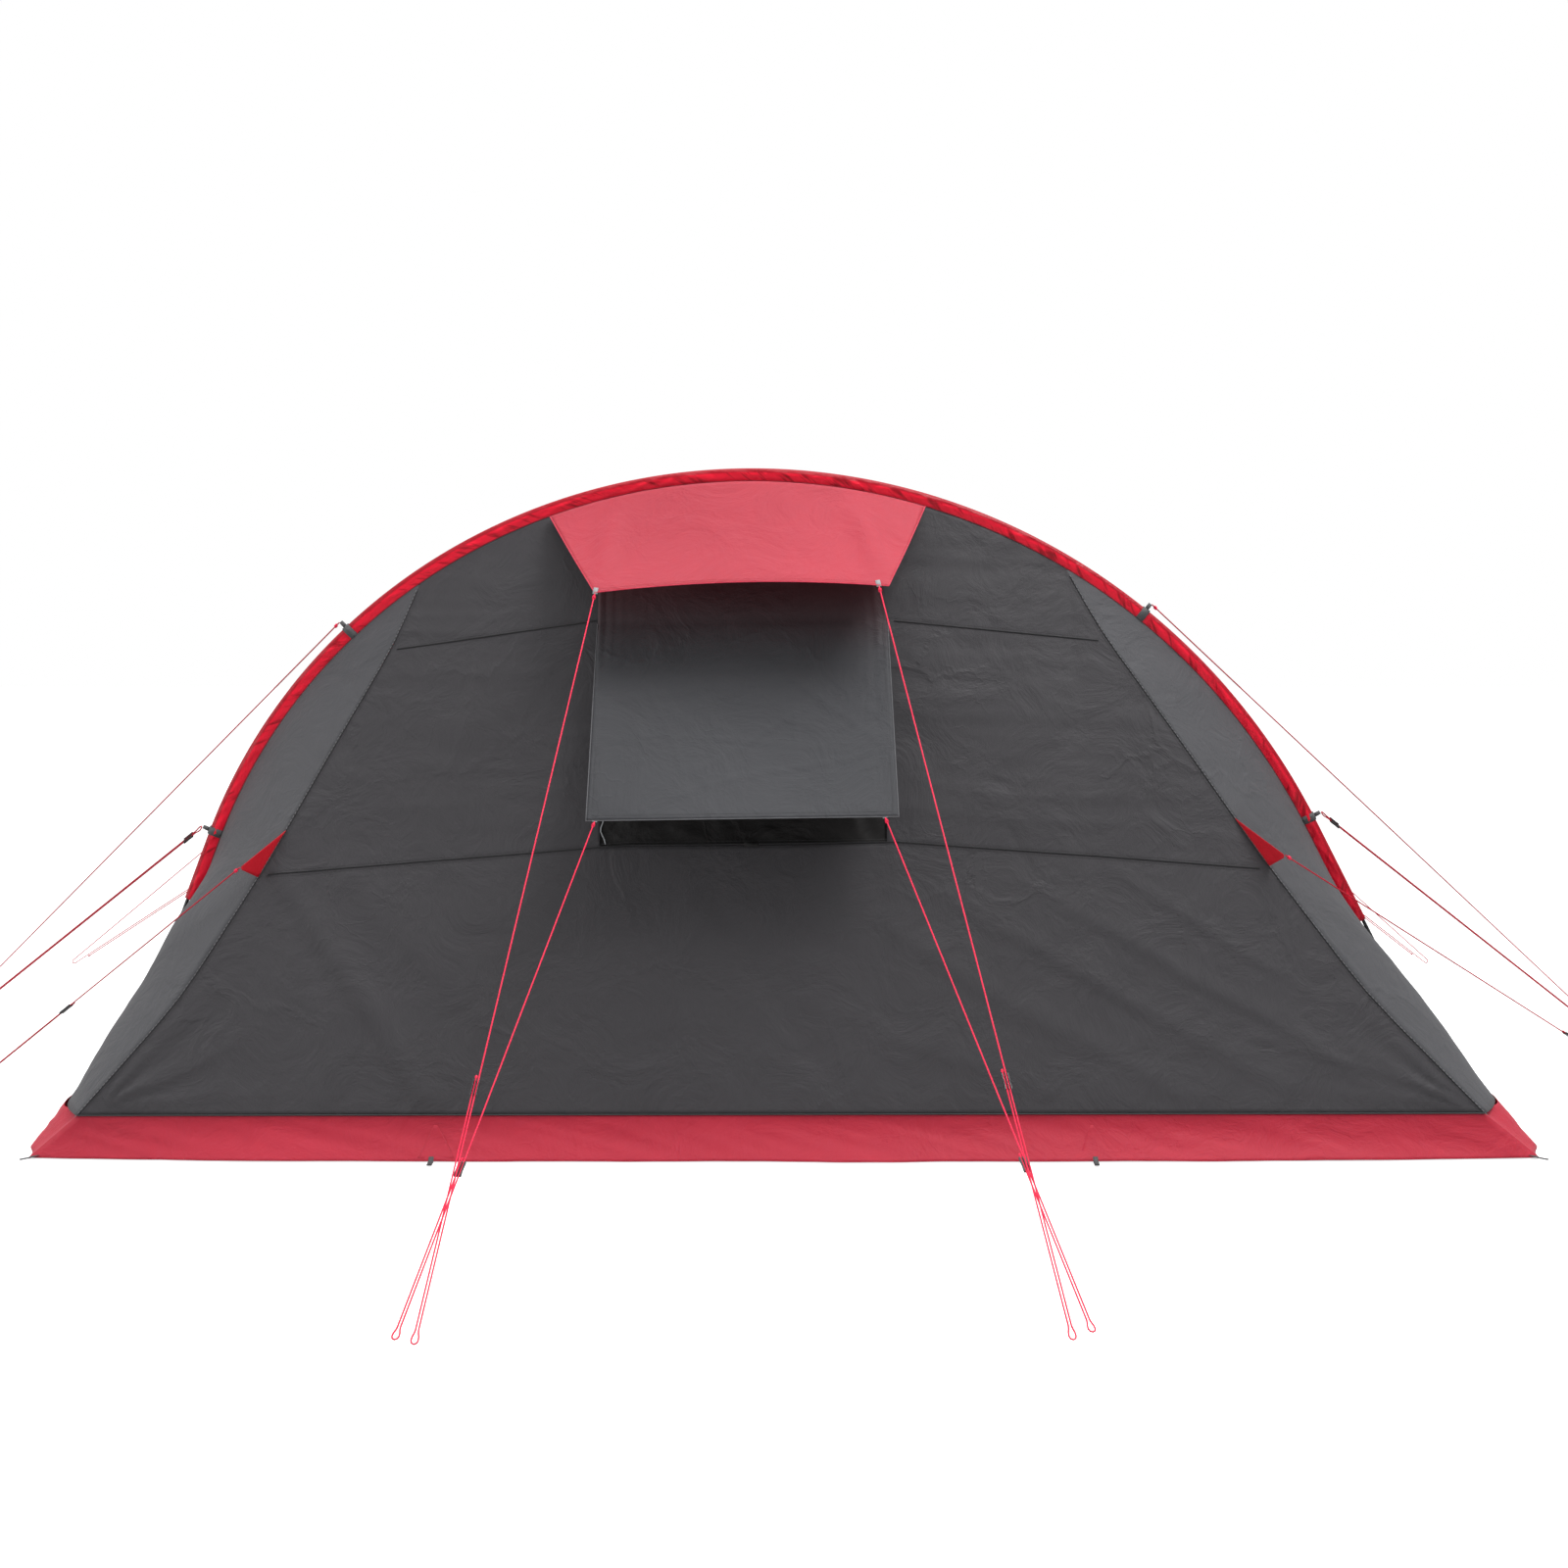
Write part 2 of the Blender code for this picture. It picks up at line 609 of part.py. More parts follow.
def vee_line(name, high, low, ground):
    """From the upper band down round the peg, up to the lower band and back down, doubled."""
    peg = Vector(ground)
    upper = (high - peg).normalized()
    rise = (low - peg).normalized()
    over = (upper - rise * upper.dot(rise)).normalized()
    low = low + over * 0.0115
    rise = (low - peg).normalized()
    over = (upper - rise * upper.dot(rise)).normalized()
    turn = math.atan2(upper.dot(over), upper.dot(rise))
    radius = 0.008

    def around(angle):
        return peg + (rise * math.cos(angle) + over * math.sin(angle)) * radius

    touch = math.pi / 2 + turn
    begin = high - upper * 0.006
    strand = peg - over * radius
    centre = strand - over * STRAND_GAP / 2
    length = (low - peg).dot(rise) - 0.006
    route = [begin.lerp(around(touch), k / 5) for k in range(5)]
    route += [around(touch + (1.5 * math.pi - touch) * k / 6) for k in range(7)]
    stop = length - 0.036
    route += [strand + rise * stop * k / 4 for k in (1, 2, 3)]
    route += end_loop(centre + rise * length, rise, -over)
    back = strand - over * STRAND_GAP
    route += [back + rise * (stop + (0.075 - stop) * k / 4) for k in (1, 2, 3)]
    route += [back + rise * s for s in (0.075, 0.072, 0.069, 0.066)]
    cord("guyline_" + name, route, {len(route) - 2, len(route) - 3})
    middle = centre + rise * (stop - 0.012 - RUNNER[0] / 2)
    runner("runner_" + name, middle, -rise, over)


hood_tips = {"left": settle((-0.430, -1.780, 1.638)), "right": settle((0.403, -1.776, 1.641))}
flap_tips = {"left": settle((-0.470, -1.948, 0.9785)), "right": settle((0.365, -1.947, 0.9785))}
single_line("hood_left", hood_tips["left"], (-0.784, -3.618, STAKE_Z), 0.713)
single_line("hood_right", hood_tips["right"], (0.623, -3.588, STAKE_Z), 0.711)
single_line("flap_left", flap_tips["left"], (-0.831, -3.588, STAKE_Z), 0.715)
single_line("flap_right", flap_tips["right"], (0.672, -3.538, STAKE_Z), 0.716)
single_line("patch_left", patch_tips["left"], (-2.648, -1.469, STAKE_Z), 0.544)
single_line("patch_right", patch_tips["right"], (2.844, -1.294, STAKE_Z), 0.707)

vee_line("rear_left", band_tips["upper", "left"], band_tips["lower", "left"], (-3.078, -0.623, STAKE_Z))
vee_line("rear_right", band_tips["upper", "right"], band_tips["lower", "right"], (3.018, -0.487, STAKE_Z))
for side, word, ground in ((-1, "left", (-3.198, 1.422, STAKE_Z)), (1, "right", (2.897, 1.435, STAKE_Z))):
    tips = []
    for middle in BAND_RUNS.values():
        x, z = chord(side * middle, -0.016)
        tips.append(settle((x, END_Y, z)))
    vee_line("front_" + word, tips[0], tips[1], ground)
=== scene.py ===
# %% [markdown]
# # A tunnel tent, pitched
# The tent is three pole arches in cloth sleeves with a red and grey fly stretched over them.
# One end is closed by a sloping grey wall with a window under a red rain hood, and the other
# by a wall with a door. Red cords hold everything taut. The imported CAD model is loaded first
# and never changes: each soft piece is rebuilt here as a thin sheet in the same place.

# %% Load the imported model
import math

import bmesh
import bpy
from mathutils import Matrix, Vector, noise


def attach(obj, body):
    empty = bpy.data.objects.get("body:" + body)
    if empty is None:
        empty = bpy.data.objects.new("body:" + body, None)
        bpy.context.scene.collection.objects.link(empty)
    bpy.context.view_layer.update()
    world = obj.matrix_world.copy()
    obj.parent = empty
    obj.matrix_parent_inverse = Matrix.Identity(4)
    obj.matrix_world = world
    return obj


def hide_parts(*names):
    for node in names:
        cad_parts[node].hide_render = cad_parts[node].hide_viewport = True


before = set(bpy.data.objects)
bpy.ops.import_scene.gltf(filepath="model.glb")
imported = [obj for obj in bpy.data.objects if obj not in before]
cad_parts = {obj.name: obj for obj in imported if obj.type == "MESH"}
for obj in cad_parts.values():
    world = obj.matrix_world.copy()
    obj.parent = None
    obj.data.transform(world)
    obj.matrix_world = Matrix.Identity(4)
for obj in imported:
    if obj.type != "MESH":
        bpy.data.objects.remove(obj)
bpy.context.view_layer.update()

# %% [markdown]
# ## Nodes and pieces in a few words
# The finishes are small node trees, and every piece is an object that is entered under its
# body and the CAD nodes that it stands for. A few helpers keep all that short.

# %% Shorthand
scene = bpy.context.scene
WHITE = (1, 1, 1, 1)


def join(made, **inputs):
    """Sets a node's inputs by name or number; each is a value or another node's output."""
    for name, value in inputs.items():
        socket = made.inputs[int(name[1:]) if name[0] == "_" else name.replace("_", " ")]
        if isinstance(value, bpy.types.NodeSocket):
            made.id_data.links.new(value, socket)
        else:
            socket.default_value = value


def node(tree, kind, settings=None, **inputs):
    made = tree.nodes.new(kind)
    for name, value in (settings or {}).items():
        setattr(made, name, value)
    join(made, **inputs)
    return made


def product(tree, first, second):
    return node(tree, "ShaderNodeMath", {"operation": "MULTIPLY"}, _0=first, _1=second).outputs[0]


def ramp(tree, value, low=0.0, high=1.0, to_low=0.0, to_high=1.0, kind="LINEAR"):
    """A value taken from one range to another."""
    return node(tree, "ShaderNodeMapRange", {"interpolation_type": kind}, Value=value, From_Min=low,
                From_Max=high, To_Min=to_low, To_Max=to_high).outputs["Result"]


def blend(tree, share, first, second):
    """A mix of two colours, each given as numbers or as another node's output."""
    ends = [c if isinstance(c, bpy.types.NodeSocket) else (*c, 1) for c in (first, second)]
    return node(tree, "ShaderNodeMix", {"data_type": "RGBA"}, _0=share, _6=ends[0],
                _7=ends[1]).outputs[2]


def painted(name, colour, roughness, metallic=0.0, specular=0.5):
    """A Principled material with its fixed values on the shader's own sockets."""
    made = bpy.data.materials.new(name)
    made.use_nodes = True
    shader = made.node_tree.nodes["Principled BSDF"]
    join(shader, Base_Color=(*colour, 1), Roughness=roughness, Metallic=metallic,
         Specular_IOR_Level=specular)
    return made, shader


def placed(name, data):
    made = bpy.data.objects.new(name, data)
    scene.collection.objects.link(made)
    return made


def modelled(name, form, finish):
    """The object made from a bmesh, which is used up."""
    mesh = bpy.data.meshes.new(name)
    form.to_mesh(mesh)
    form.free()
    mesh.materials.append(finish)
    return placed(name, mesh)


def poly_curve(name, paths):
    """A curve that runs straight from point to point of each path."""
    curve = bpy.data.curves.new(name, "CURVE")
    curve.dimensions = "3D"
    for path in paths:
        line = curve.splines.new("POLY")
        line.points.add(len(path) - 1)
        for spot, point in zip(line.points, path):
            spot.co = (*point, 1)
    return curve


def entered(piece, body="tent", stands_for=(), thick=None, offset=-1):
    """Thickens a piece if it is a sheet, and enters it in the frame."""
    if thick:
        wall = piece.modifiers.new("thickness", "SOLIDIFY")
        wall.thickness = thick
        wall.offset = offset
    if stands_for:
        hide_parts(*stands_for)
    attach(piece, body)
    return piece


# %% [markdown]
# ## Light, floor and camera
# A tent stands on a pale floor in soft studio light. A broad lamp on the left catches the
# slanting corner panel there, a smaller one high on the right rakes down the window wall so
# that its folds show, and a third comes from overhead. A white world, brighter above than at
# the horizon, fills the rest, and the floor glows a little so that no hard shadow shows. The
# camera stands at eye height, square on to the window end, and looks down slightly.

# %% Camera, lamps and floor
EYE_HEIGHT = 1.55
EYE_AWAY = 8.0
LOOK_DOWN = 4.46
FLOOR_HALF, FLOOR_Z, FLOOR_GLOW = 40, -0.0008, 0.75
scene.view_settings.view_transform = "Standard"

camera = placed("camera", bpy.data.cameras.new("camera"))
camera.location = (0, -EYE_AWAY, EYE_HEIGHT)
camera.rotation_euler = (math.radians(90 - LOOK_DOWN), 0, 0)
camera.data.lens = 48.47
camera.data.sensor_width = 36
scene.camera = camera

world = bpy.data.worlds.new("white room")
world.use_nodes = True
tree = world.node_tree
way_up = node(tree, "ShaderNodeTexCoord")
height = node(tree, "ShaderNodeSeparateXYZ", Vector=way_up.outputs["Generated"])
sky = tree.nodes["Background"]
join(sky, Color=WHITE, Strength=ramp(tree, height.outputs["Z"], -0.1, 1.0, 0.19, 1.00))
seen = node(tree, "ShaderNodeBackground", Color=WHITE, Strength=1.0)
ray = node(tree, "ShaderNodeLightPath")
either = node(tree, "ShaderNodeMixShader", Fac=ray.outputs["Is Camera Ray"],
              _1=sky.outputs["Background"], _2=seen.outputs["Background"])
join(tree.nodes["World Output"], Surface=either.outputs["Shader"])
scene.world = world


def lamp(name, place, aim, size, watts):
    """A square soft box at place, turned to face aim."""
    made = placed(name, bpy.data.lights.new(name, "AREA"))
    made.data.size = size
    made.data.energy = watts
    made.location = place
    made.rotation_euler = (Vector(aim) - Vector(place)).to_track_quat("-Z", "Y").to_euler()


lamp("left softbox", (-8.5, -3.5, 3.5), (-1.0, 0, 0.8), 5, 330)
lamp("right softbox", (3.6, -3.4, 7.8), (0.0, -1.6, 0.9), 3.4, 540)
lamp("top softbox", (0, -1.5, 8.0), (0, -0.8, 0.8), 6, 300)

floor_mesh = bpy.data.meshes.new("floor")
floor_mesh.from_pydata([(FLOOR_HALF * a, FLOOR_HALF * b, FLOOR_Z)
                        for a, b in ((-1, -1), (1, -1), (1, 1), (-1, 1))], [], [(0, 1, 2, 3)])
floor = placed("floor", floor_mesh)
paper, shader = painted("white paper", (0.62, 0.62, 0.62), 0.9, specular=0.1)
ray = node(paper.node_tree, "ShaderNodeLightPath")
join(shader, Emission_Color=WHITE, Emission_Strength=product(
    paper.node_tree, ray.outputs["Is Camera Ray"], FLOOR_GLOW))
floor_mesh.materials.append(paper)
print("lamps:", len(bpy.data.lights), "floor", 2 * FLOOR_HALF, "m wide")

# %% [markdown]
# ## The shape everything hangs on
# Each pole bends into an arc of a circle that runs out into two straight legs. Every piece of
# cloth follows from that one rule, so it is written once: how far along the arch, how far
# inside the sleeve's outer edge. As pitched, the whole tent also leans a little to the left and
# rises a little to the right, which settle() does to every point.

# %% The rule of the arch
ARCH_R = 1.905
ARCH_Z = 0.109
LEG_TURN = math.radians(65.47)
ARC_RUN = ARCH_R * LEG_TURN
END_Y = 1.43
BASE_Y = 1.98
LEAN = 0.076
TILT = 0.014
FLY_IN = 0.040
POLE_IN = 0.010
POLE_R = 0.0055
HEM_Z = 0.12
EAVE_RUN = 2.266
CABIN_IN = 0.1355
WALL_TOP_Y = END_Y + 0.006
SEAM_FOOT, SEAM_TOP = 2.04, 1.0
PLANES = {"rear": -END_Y, "middle": 0.0, "front": END_Y}
SIDES = {"left": -1, "right": 1}


def settle(point):
    x, y, z = point
    return Vector((x - LEAN * z, y, z * (1 + TILT * x)))


def arch(run, inset):
    """(x, z) of an arch, run metres along its outer edge from the top and inset metres inside."""
    turn = min(abs(run), ARC_RUN) / ARCH_R
    leg = max(abs(run) - ARC_RUN, 0)
    x = (ARCH_R - inset) * math.sin(turn) + leg * math.cos(LEG_TURN)
    z = ARCH_Z + (ARCH_R - inset) * math.cos(turn) - leg * math.sin(LEG_TURN)
    return math.copysign(x, run), z


def at_arch(run, inset, y):
    x, z = arch(run, inset)
    return x, y, z


def run_at(z, inset):
    return ARC_RUN + (arch(ARC_RUN, inset)[1] - z) / math.sin(LEG_TURN)


def half_width(z, inset):
    if z < arch(ARC_RUN, inset)[1]:
        return arch(run_at(z, inset), inset)[0]
    return math.sqrt(max((ARCH_R - inset) ** 2 - (z - ARCH_Z) ** 2, 0))


def arch_height(x, inset):
    return ARCH_Z + math.sqrt((ARCH_R - inset) ** 2 - x * x)


KNOTS = ((HEM_Z, SEAM_FOOT), (0.45, 1.740), (0.83, 1.487), (1.17, 1.285), (1.50, 1.082),
         (1.683, SEAM_TOP))


def seam_straight(z):
    z = min(max(z, KNOTS[0][0]), KNOTS[-1][0])
    for (low, wide), (high, narrow) in zip(KNOTS, KNOTS[1:]):
        if z <= high:
            return wide + (narrow - wide) * (z - low) / (high - low)
    return KNOTS[-1][1]


def seam_x(z):
    """Half the width between the two corner seams of an end wall, with its bends eased."""
    ease = min(0.08, z - HEM_Z, KNOTS[-1][0] - z)
    if ease <= 0:
        return seam_straight(z)
    return (seam_straight(z - ease) + 2 * seam_straight(z) + seam_straight(z + ease)) / 4


BOW = ((HEM_Z, 0.095), (0.30, 0.112), (0.40, 0.109), (0.50, 0.093), (0.60, 0.068), (0.70, 0.045),
       (0.85, 0.028), (1.10, 0.020), (1.66, 0.0))


def swell(z, side=1):
    """How far a corner panel swells out sideways between its seam and the pole."""
    z = min(max(z, BOW[0][0]), BOW[-1][0])
    more = 0.034 * math.exp(-((z - 0.66) / 0.13) ** 2) if side < 0 else 0
    for (low, b0), (high, b1) in zip(BOW, BOW[1:]):
        if z <= high:
            return b0 + (b1 - b0) * (z - low) / (high - low) + more


def wall_y(x, z, inset=FLY_IN):
    """How far out the end wall stands: it slopes from the ground up to the arch."""
    top = arch_height(min(abs(x), SEAM_TOP), inset)
    return BASE_Y + (WALL_TOP_Y - BASE_Y) * (z - HEM_Z) / (top - HEM_Z)


def fly_sag(y):
    """Between two arches the cloth is pulled in a little."""
    return FLY_IN + 0.030 * math.sin(math.pi * y / END_Y) ** 2


print("arch top", round(arch(0, 0)[1], 3), "foot half-width", round(half_width(0, 0), 3))

# %% [markdown]
# ## Coated tent cloth
# Tent cloth is a plain weave of fine polyester thread with a proofing that gives it a dull
# sheen. Three scales are layered: the weave itself in the piece's own UV map, which is in
# metres; a soft crumple from having been packed; and slow shifts of tone. A little light
# passes through it, which subsurface scattering over a few millimetres gives a thin sheet.


# %% Cloth finish
def cloth_finish(name, colour, shade=0.82, thread=0.0009, crumple=0.6, glow=0.0, sheen=0.15,
                 roughness=0.62):
    made, shader = painted(name, colour, roughness, specular=0.2)
    tree = made.node_tree
    uv = node(tree, "ShaderNodeTexCoord")
    warp, weft = (node(tree, "ShaderNodeTexWave", {"bands_direction": way},
                       Vector=uv.outputs["UV"], Scale=0.314 / thread) for way in "XY")
    weave = product(tree, warp.outputs["Fac"], weft.outputs["Fac"])
    folds = node(tree, "ShaderNodeTexNoise", Vector=uv.outputs["Object"], Scale=5.5, Detail=6.0,
                 Roughness=0.6, Distortion=0.9)
    wander = node(tree, "ShaderNodeVectorMath", {"operation": "MULTIPLY"},
                  _0=folds.outputs["Color"], _1=(0.16, 0.16, 0.16))
    spot = node(tree, "ShaderNodeVectorMath", _0=uv.outputs["Object"], _1=wander.outputs["Vector"])
    height = folds.outputs["Fac"]
    for scale, deep in ((3.3, 0.13), (9.0, 0.05)):
        cells = node(tree, "ShaderNodeTexVoronoi", {"feature": "DISTANCE_TO_EDGE"},
                     Vector=spot.outputs["Vector"], Scale=scale)
        some = node(tree, "ShaderNodeTexNoise", Vector=uv.outputs["Object"], Scale=scale * 0.7)
        crease = product(tree, ramp(tree, cells.outputs["Distance"], 0.0, 0.05, deep, 0.0),
                         ramp(tree, some.outputs["Fac"], 0.48, 0.62))
        height = node(tree, "ShaderNodeMath", _0=height, _1=crease).outputs["Value"]
    crumpled = node(tree, "ShaderNodeBump", Height=height, Strength=crumple, Distance=0.02)
    woven = node(tree, "ShaderNodeBump", Height=weave, Strength=0.25, Distance=thread / 3,
                 Normal=crumpled.outputs["Normal"])
    slow = node(tree, "ShaderNodeTexNoise", Vector=uv.outputs["Object"], Scale=1.7, Detail=4.0)
    tone = ramp(tree, slow.outputs["Fac"], 0.35, 0.65)
    join(shader, Normal=woven.outputs["Normal"], Sheen_Weight=sheen, Sheen_Roughness=0.5,
         Base_Color=blend(tree, tone, [c * shade for c in colour], colour))
    if glow:
        join(shader, Subsurface_Weight=glow, Subsurface_Scale=0.004,
             Subsurface_Radius=(1.0, 0.35, 0.35))
    return made


def recoloured(finish, change):
    """Passes the colour of a finish through change(tree, colour, coordinates)."""
    tree = finish.node_tree
    shader = tree.nodes["Principled BSDF"]
    plain = shader.inputs["Base Color"].links[0].from_socket
    join(shader, Base_Color=change(tree, plain, tree.nodes["Texture Coordinate"].outputs))
    return finish


# Painted shade: towards the top of the flap its colour turns dark reddish brown, for the red-tinted
# shadow that the hood casts.
def painted_hood_shade(tree, plain, spots):
    level = node(tree, "ShaderNodeSeparateXYZ", Vector=spots["Object"])
    near = ramp(tree, level.outputs["Z"], 1.42, 1.72, kind="SMOOTHSTEP")
    return blend(tree, near, plain, (0.050, 0.010, 0.013))


charcoal = cloth_finish("charcoal cloth", (0.0400, 0.0380, 0.0415), 0.93, sheen=0.05)
# A paler copy of the wall cloth: pale grey on the sides of the fly, painted side light on the
# corner panels.
pale_grey_and_painted_side_light = cloth_finish("pale grey cloth painted side light", (0.0540, 0.0540, 0.0590), 0.92, sheen=0.08)
# The flap's colour carries the hood's painted shade near its top.
flap_grey = recoloured(cloth_finish("flap cloth", (0.0423, 0.0431, 0.0475), 0.95, sheen=0.05),
                       painted_hood_shade)
rose = cloth_finish("rose hood cloth", (0.360, 0.031, 0.051), 0.93, glow=0.5, sheen=0.05)
crimson = cloth_finish("crimson cloth", (0.42, 0.002, 0.012), 0.90, crumple=0.5, glow=0.15,
                       sheen=0.05)
skirt_red = cloth_finish("skirt cloth", (0.375, 0.018, 0.038), 0.93, glow=0.4, sheen=0.05)
cabin_cloth = cloth_finish("cabin cloth", (0.42, 0.41, 0.38), 0.93)
ground_cloth = cloth_finish("groundsheet cloth", (0.06, 0.062, 0.066), 0.9, thread=0.002)

# %% [markdown]
# The sleeve's colour has two more layers, both painted shade. The black pole shows through its
# outer edge as a dark line: the sleeve's own UV map runs round it, so a narrow band of that map
# is darkened. Slanting streaks are darkened too, for the shade in the creases of its puckers.

# %% Sleeve finish
def painted_sleeve_shade(tree, plain, spots):
    around = node(tree, "ShaderNodeSeparateXYZ", Vector=spots["UV"])
    slant = node(tree, "ShaderNodeMapping", Vector=spots["UV"], Rotation=(0, 0, 0.95))
    drawn = node(tree, "ShaderNodeMapping", Vector=slant.outputs["Vector"], Scale=(62, 9, 1))
    puckers = node(tree, "ShaderNodeTexNoise", Vector=drawn.outputs["Vector"], Scale=1.0,
                   Detail=2.0)
    # Painted shade in the creases of the puckers.
    pucker_shade = ramp(tree, puckers.outputs["Fac"], 0.33, 0.46)
    # Painted shade: the dark line where the black pole shows through the outer edge.
    clear_of_pole_shade = ramp(tree, around.outputs["Y"], 0.010, 0.016)
    return blend(tree, clear_of_pole_shade, (0.30, 0.003, 0.012),
                 blend(tree, pucker_shade, (0.30, 0.002, 0.010), plain))


sleeve_cloth = recoloured(cloth_finish("sleeve cloth", (0.80, 0.008, 0.032), 0.85, glow=0.1,
                                       sheen=0.0, roughness=0.40), painted_sleeve_shade)
print("cloth finishes made:", len(bpy.data.materials))

# %% [markdown]
# ## Hard and corded finishes
# Runners, feet and the zip are small black mouldings with a fine grain. The cords are braided:
# a slanting wave gives the braid, and they are brighter than the cloth. Webbing is the same in
# grey.


# %% Moulding, cord and webbing finishes
def grained(name, colour, roughness, scale, depth, metallic=0.0):
    made, shader = painted(name, colour, roughness, metallic)
    tree = made.node_tree
    spot = node(tree, "ShaderNodeTexCoord")
    grain = node(tree, "ShaderNodeTexNoise", Vector=spot.outputs["Object"], Scale=scale, Detail=3.0)
    bump = node(tree, "ShaderNodeBump", Height=grain.outputs["Fac"], Strength=0.4, Distance=depth)
    rough = ramp(tree, grain.outputs["Fac"], to_low=roughness * 0.8, to_high=roughness * 1.2)
    join(shader, Normal=bump.outputs["Normal"], Roughness=rough)
    return made


def braided(name, colour, dark, pitch):
    made, shader = painted(name, colour, 0.6, specular=0.3)
    tree = made.node_tree
    spot = node(tree, "ShaderNodeTexCoord")
    turned = node(tree, "ShaderNodeMapping", Vector=spot.outputs["Object"],
                  Rotation=(0.6, 0.5, 0.7))
    strands = node(tree, "ShaderNodeTexWave", Vector=turned.outputs["Vector"], Scale=0.314 / pitch,
                   Distortion=1.5).outputs["Fac"]
    bump = node(tree, "ShaderNodeBump", Height=strands, Strength=0.5, Distance=pitch / 4)
    join(shader, Base_Color=blend(tree, strands, dark, colour), Normal=bump.outputs["Normal"])
    return made


cord_red = braided("guyline cord", (0.80, 0.018, 0.075), (0.62, 0.010, 0.045), 0.0022)
# A darker copy of the cord colour for the side lines: painted shade.
cord_painted_shade = braided("side guyline cord painted shade", (0.48, 0.008, 0.028), (0.30, 0.005, 0.018), 0.0022)
webbing = braided("grey webbing", (0.085, 0.085, 0.088), (0.05, 0.05, 0.052), 0.0018)
pale_webbing = braided("pale webbing", (0.30, 0.31, 0.32), (0.20, 0.21, 0.22), 0.0018)
moulding = grained("black moulding", (0.012, 0.012, 0.013), 0.42, 900, 0.0002)
pole_paint = grained("pole lacquer", (0.010, 0.010, 0.011), 0.25, 300, 0.0001)
ferrule_steel = grained("ferrule steel", (0.11, 0.11, 0.115), 0.5, 500, 0.0001, 1.0)
thread_grey = grained("grey thread", (0.045, 0.045, 0.048), 0.8, 2500, 0.0001)
thread_pale = grained("pale thread", (0.13, 0.13, 0.135), 0.8, 2500, 0.0001)
thread_red = grained("red thread", (0.32, 0.008, 0.022), 0.8, 2500, 0.0001)
# Near-black, for the painted shadow along the level seams.
shadow_grey = grained("painted seam shadow", (0.010, 0.010, 0.011), 0.9, 1500, 0.0002)
piping_grey = grained("seam piping", (0.026, 0.026, 0.028), 0.75, 1500, 0.0002)
net_black = cloth_finish("window net", (0.011, 0.010, 0.010), 0.7, thread=0.0014, crumple=0.9,
                         sheen=0.0)
print("finishes made:", len(bpy.data.materials))

# %% [markdown]
# ## Cords
# Each guyline is one cord. It runs from its tab through a runner to the peg, turns back in a
# loop and ends in a stopper knot above the runner, so its lower part is doubled. The two side
# lines of an arch each make a V: down from the upper band, round the peg, up to the lower band
# and back. They are taut, so their straight parts don't sag. The routes are those of the model.

# %% Routes of the cords
CORD_R = 0.002
STRAND_GAP = 0.007
STAKE_Z = 0.013
LOOP = ((-0.034, 0.0035), (-0.026, 0.0048), (-0.018, 0.0072), (-0.009, 0.0079), (-0.003, 0.0056))
STATIONS = (0, 0.21, 0.42, 0.63, 0.84, 1.05, 1.25, 1.455, 1.66, 1.86, 2.05, EAVE_RUN)
BAND_RUNS = {"upper": 1.3525, "lower": 2.158}


def chord(run, inset):
    """As arch(), but on the straight pieces between stations, as the model's sleeves are."""
    low = max(s for s in STATIONS if s <= abs(run))
    high = min(s for s in STATIONS if s > abs(run))
    share = (abs(run) - low) / (high - low)
    one, two = arch(low, inset), arch(high, inset)
    x, z = (one[k] * (1 - share) + two[k] * share for k in (0, 1))
    return math.copysign(x, run), z


def end_loop(tip, away, across):
    one = [tip + away * s - across * c for s, c in LOOP]
    return one + [tip] + [tip + away * s + across * c for s, c in reversed(LOOP)]


def single_route(top, ground, share):
    """The route, and where the runner sits on it with the directions along and across it."""
    ground = Vector(ground)
    away = (ground - top).normalized()
    across = away.cross(Vector((0, 0, 1))).normalized()
    start = top + away * 0.006
    knot = start + (ground - start) * share + across * STRAND_GAP
    route = [start + (ground - start) * (k / 6) for k in range(6)]
    route += end_loop(ground + across * STRAND_GAP / 2, away, across)
    route += [route[-1].lerp(knot, k / 3) for k in (1, 2)]
    route += [knot + away * 0.006, knot + away * 0.003, knot, knot - away * 0.003]
    middle = start + (ground - start) * share + across * STRAND_GAP / 2 + away * 0.033
    return route, middle, away, across


def vee_route(high, low, ground):
    peg = Vector(ground)
    upper = (high - peg).normalized()
    rise = (low - peg).normalized()
    over = (upper - rise * upper.dot(rise)).normalized()
    low = low + over * 0.0115
    rise = (low - peg).normalized()
    over = (upper - rise * upper.dot(rise)).normalized()
    turn = math.atan2(upper.dot(over), upper.dot(rise))

    def around(angle):
        return peg + (rise * math.cos(angle) + over * math.sin(angle)) * 0.008

    touch = math.pi / 2 + turn
    strand = peg - over * 0.008
    centre = strand - over * STRAND_GAP / 2
    length = (low - peg).dot(rise) - 0.006
    route = [(high - upper * 0.006).lerp(around(touch), k / 5) for k in range(5)]
    route += [around(touch + (1.5 * math.pi - touch) * k / 6) for k in range(7)]
    stop = length - 0.036
    route += [strand + rise * stop * k / 4 for k in (1, 2, 3)]
    route += end_loop(centre + rise * length, rise, -over)
    back = strand - over * STRAND_GAP
    route += [back + rise * (stop + (0.075 - stop) * k / 4) for k in (1, 2, 3)]
    route += [back + rise * s for s in (0.075, 0.072, 0.069, 0.066)]
    return route, centre + rise * (stop - 0.035), -rise, over


def band_point(run, inset, plane):
    x, z = chord(run, inset)
    return settle((x, plane, z))


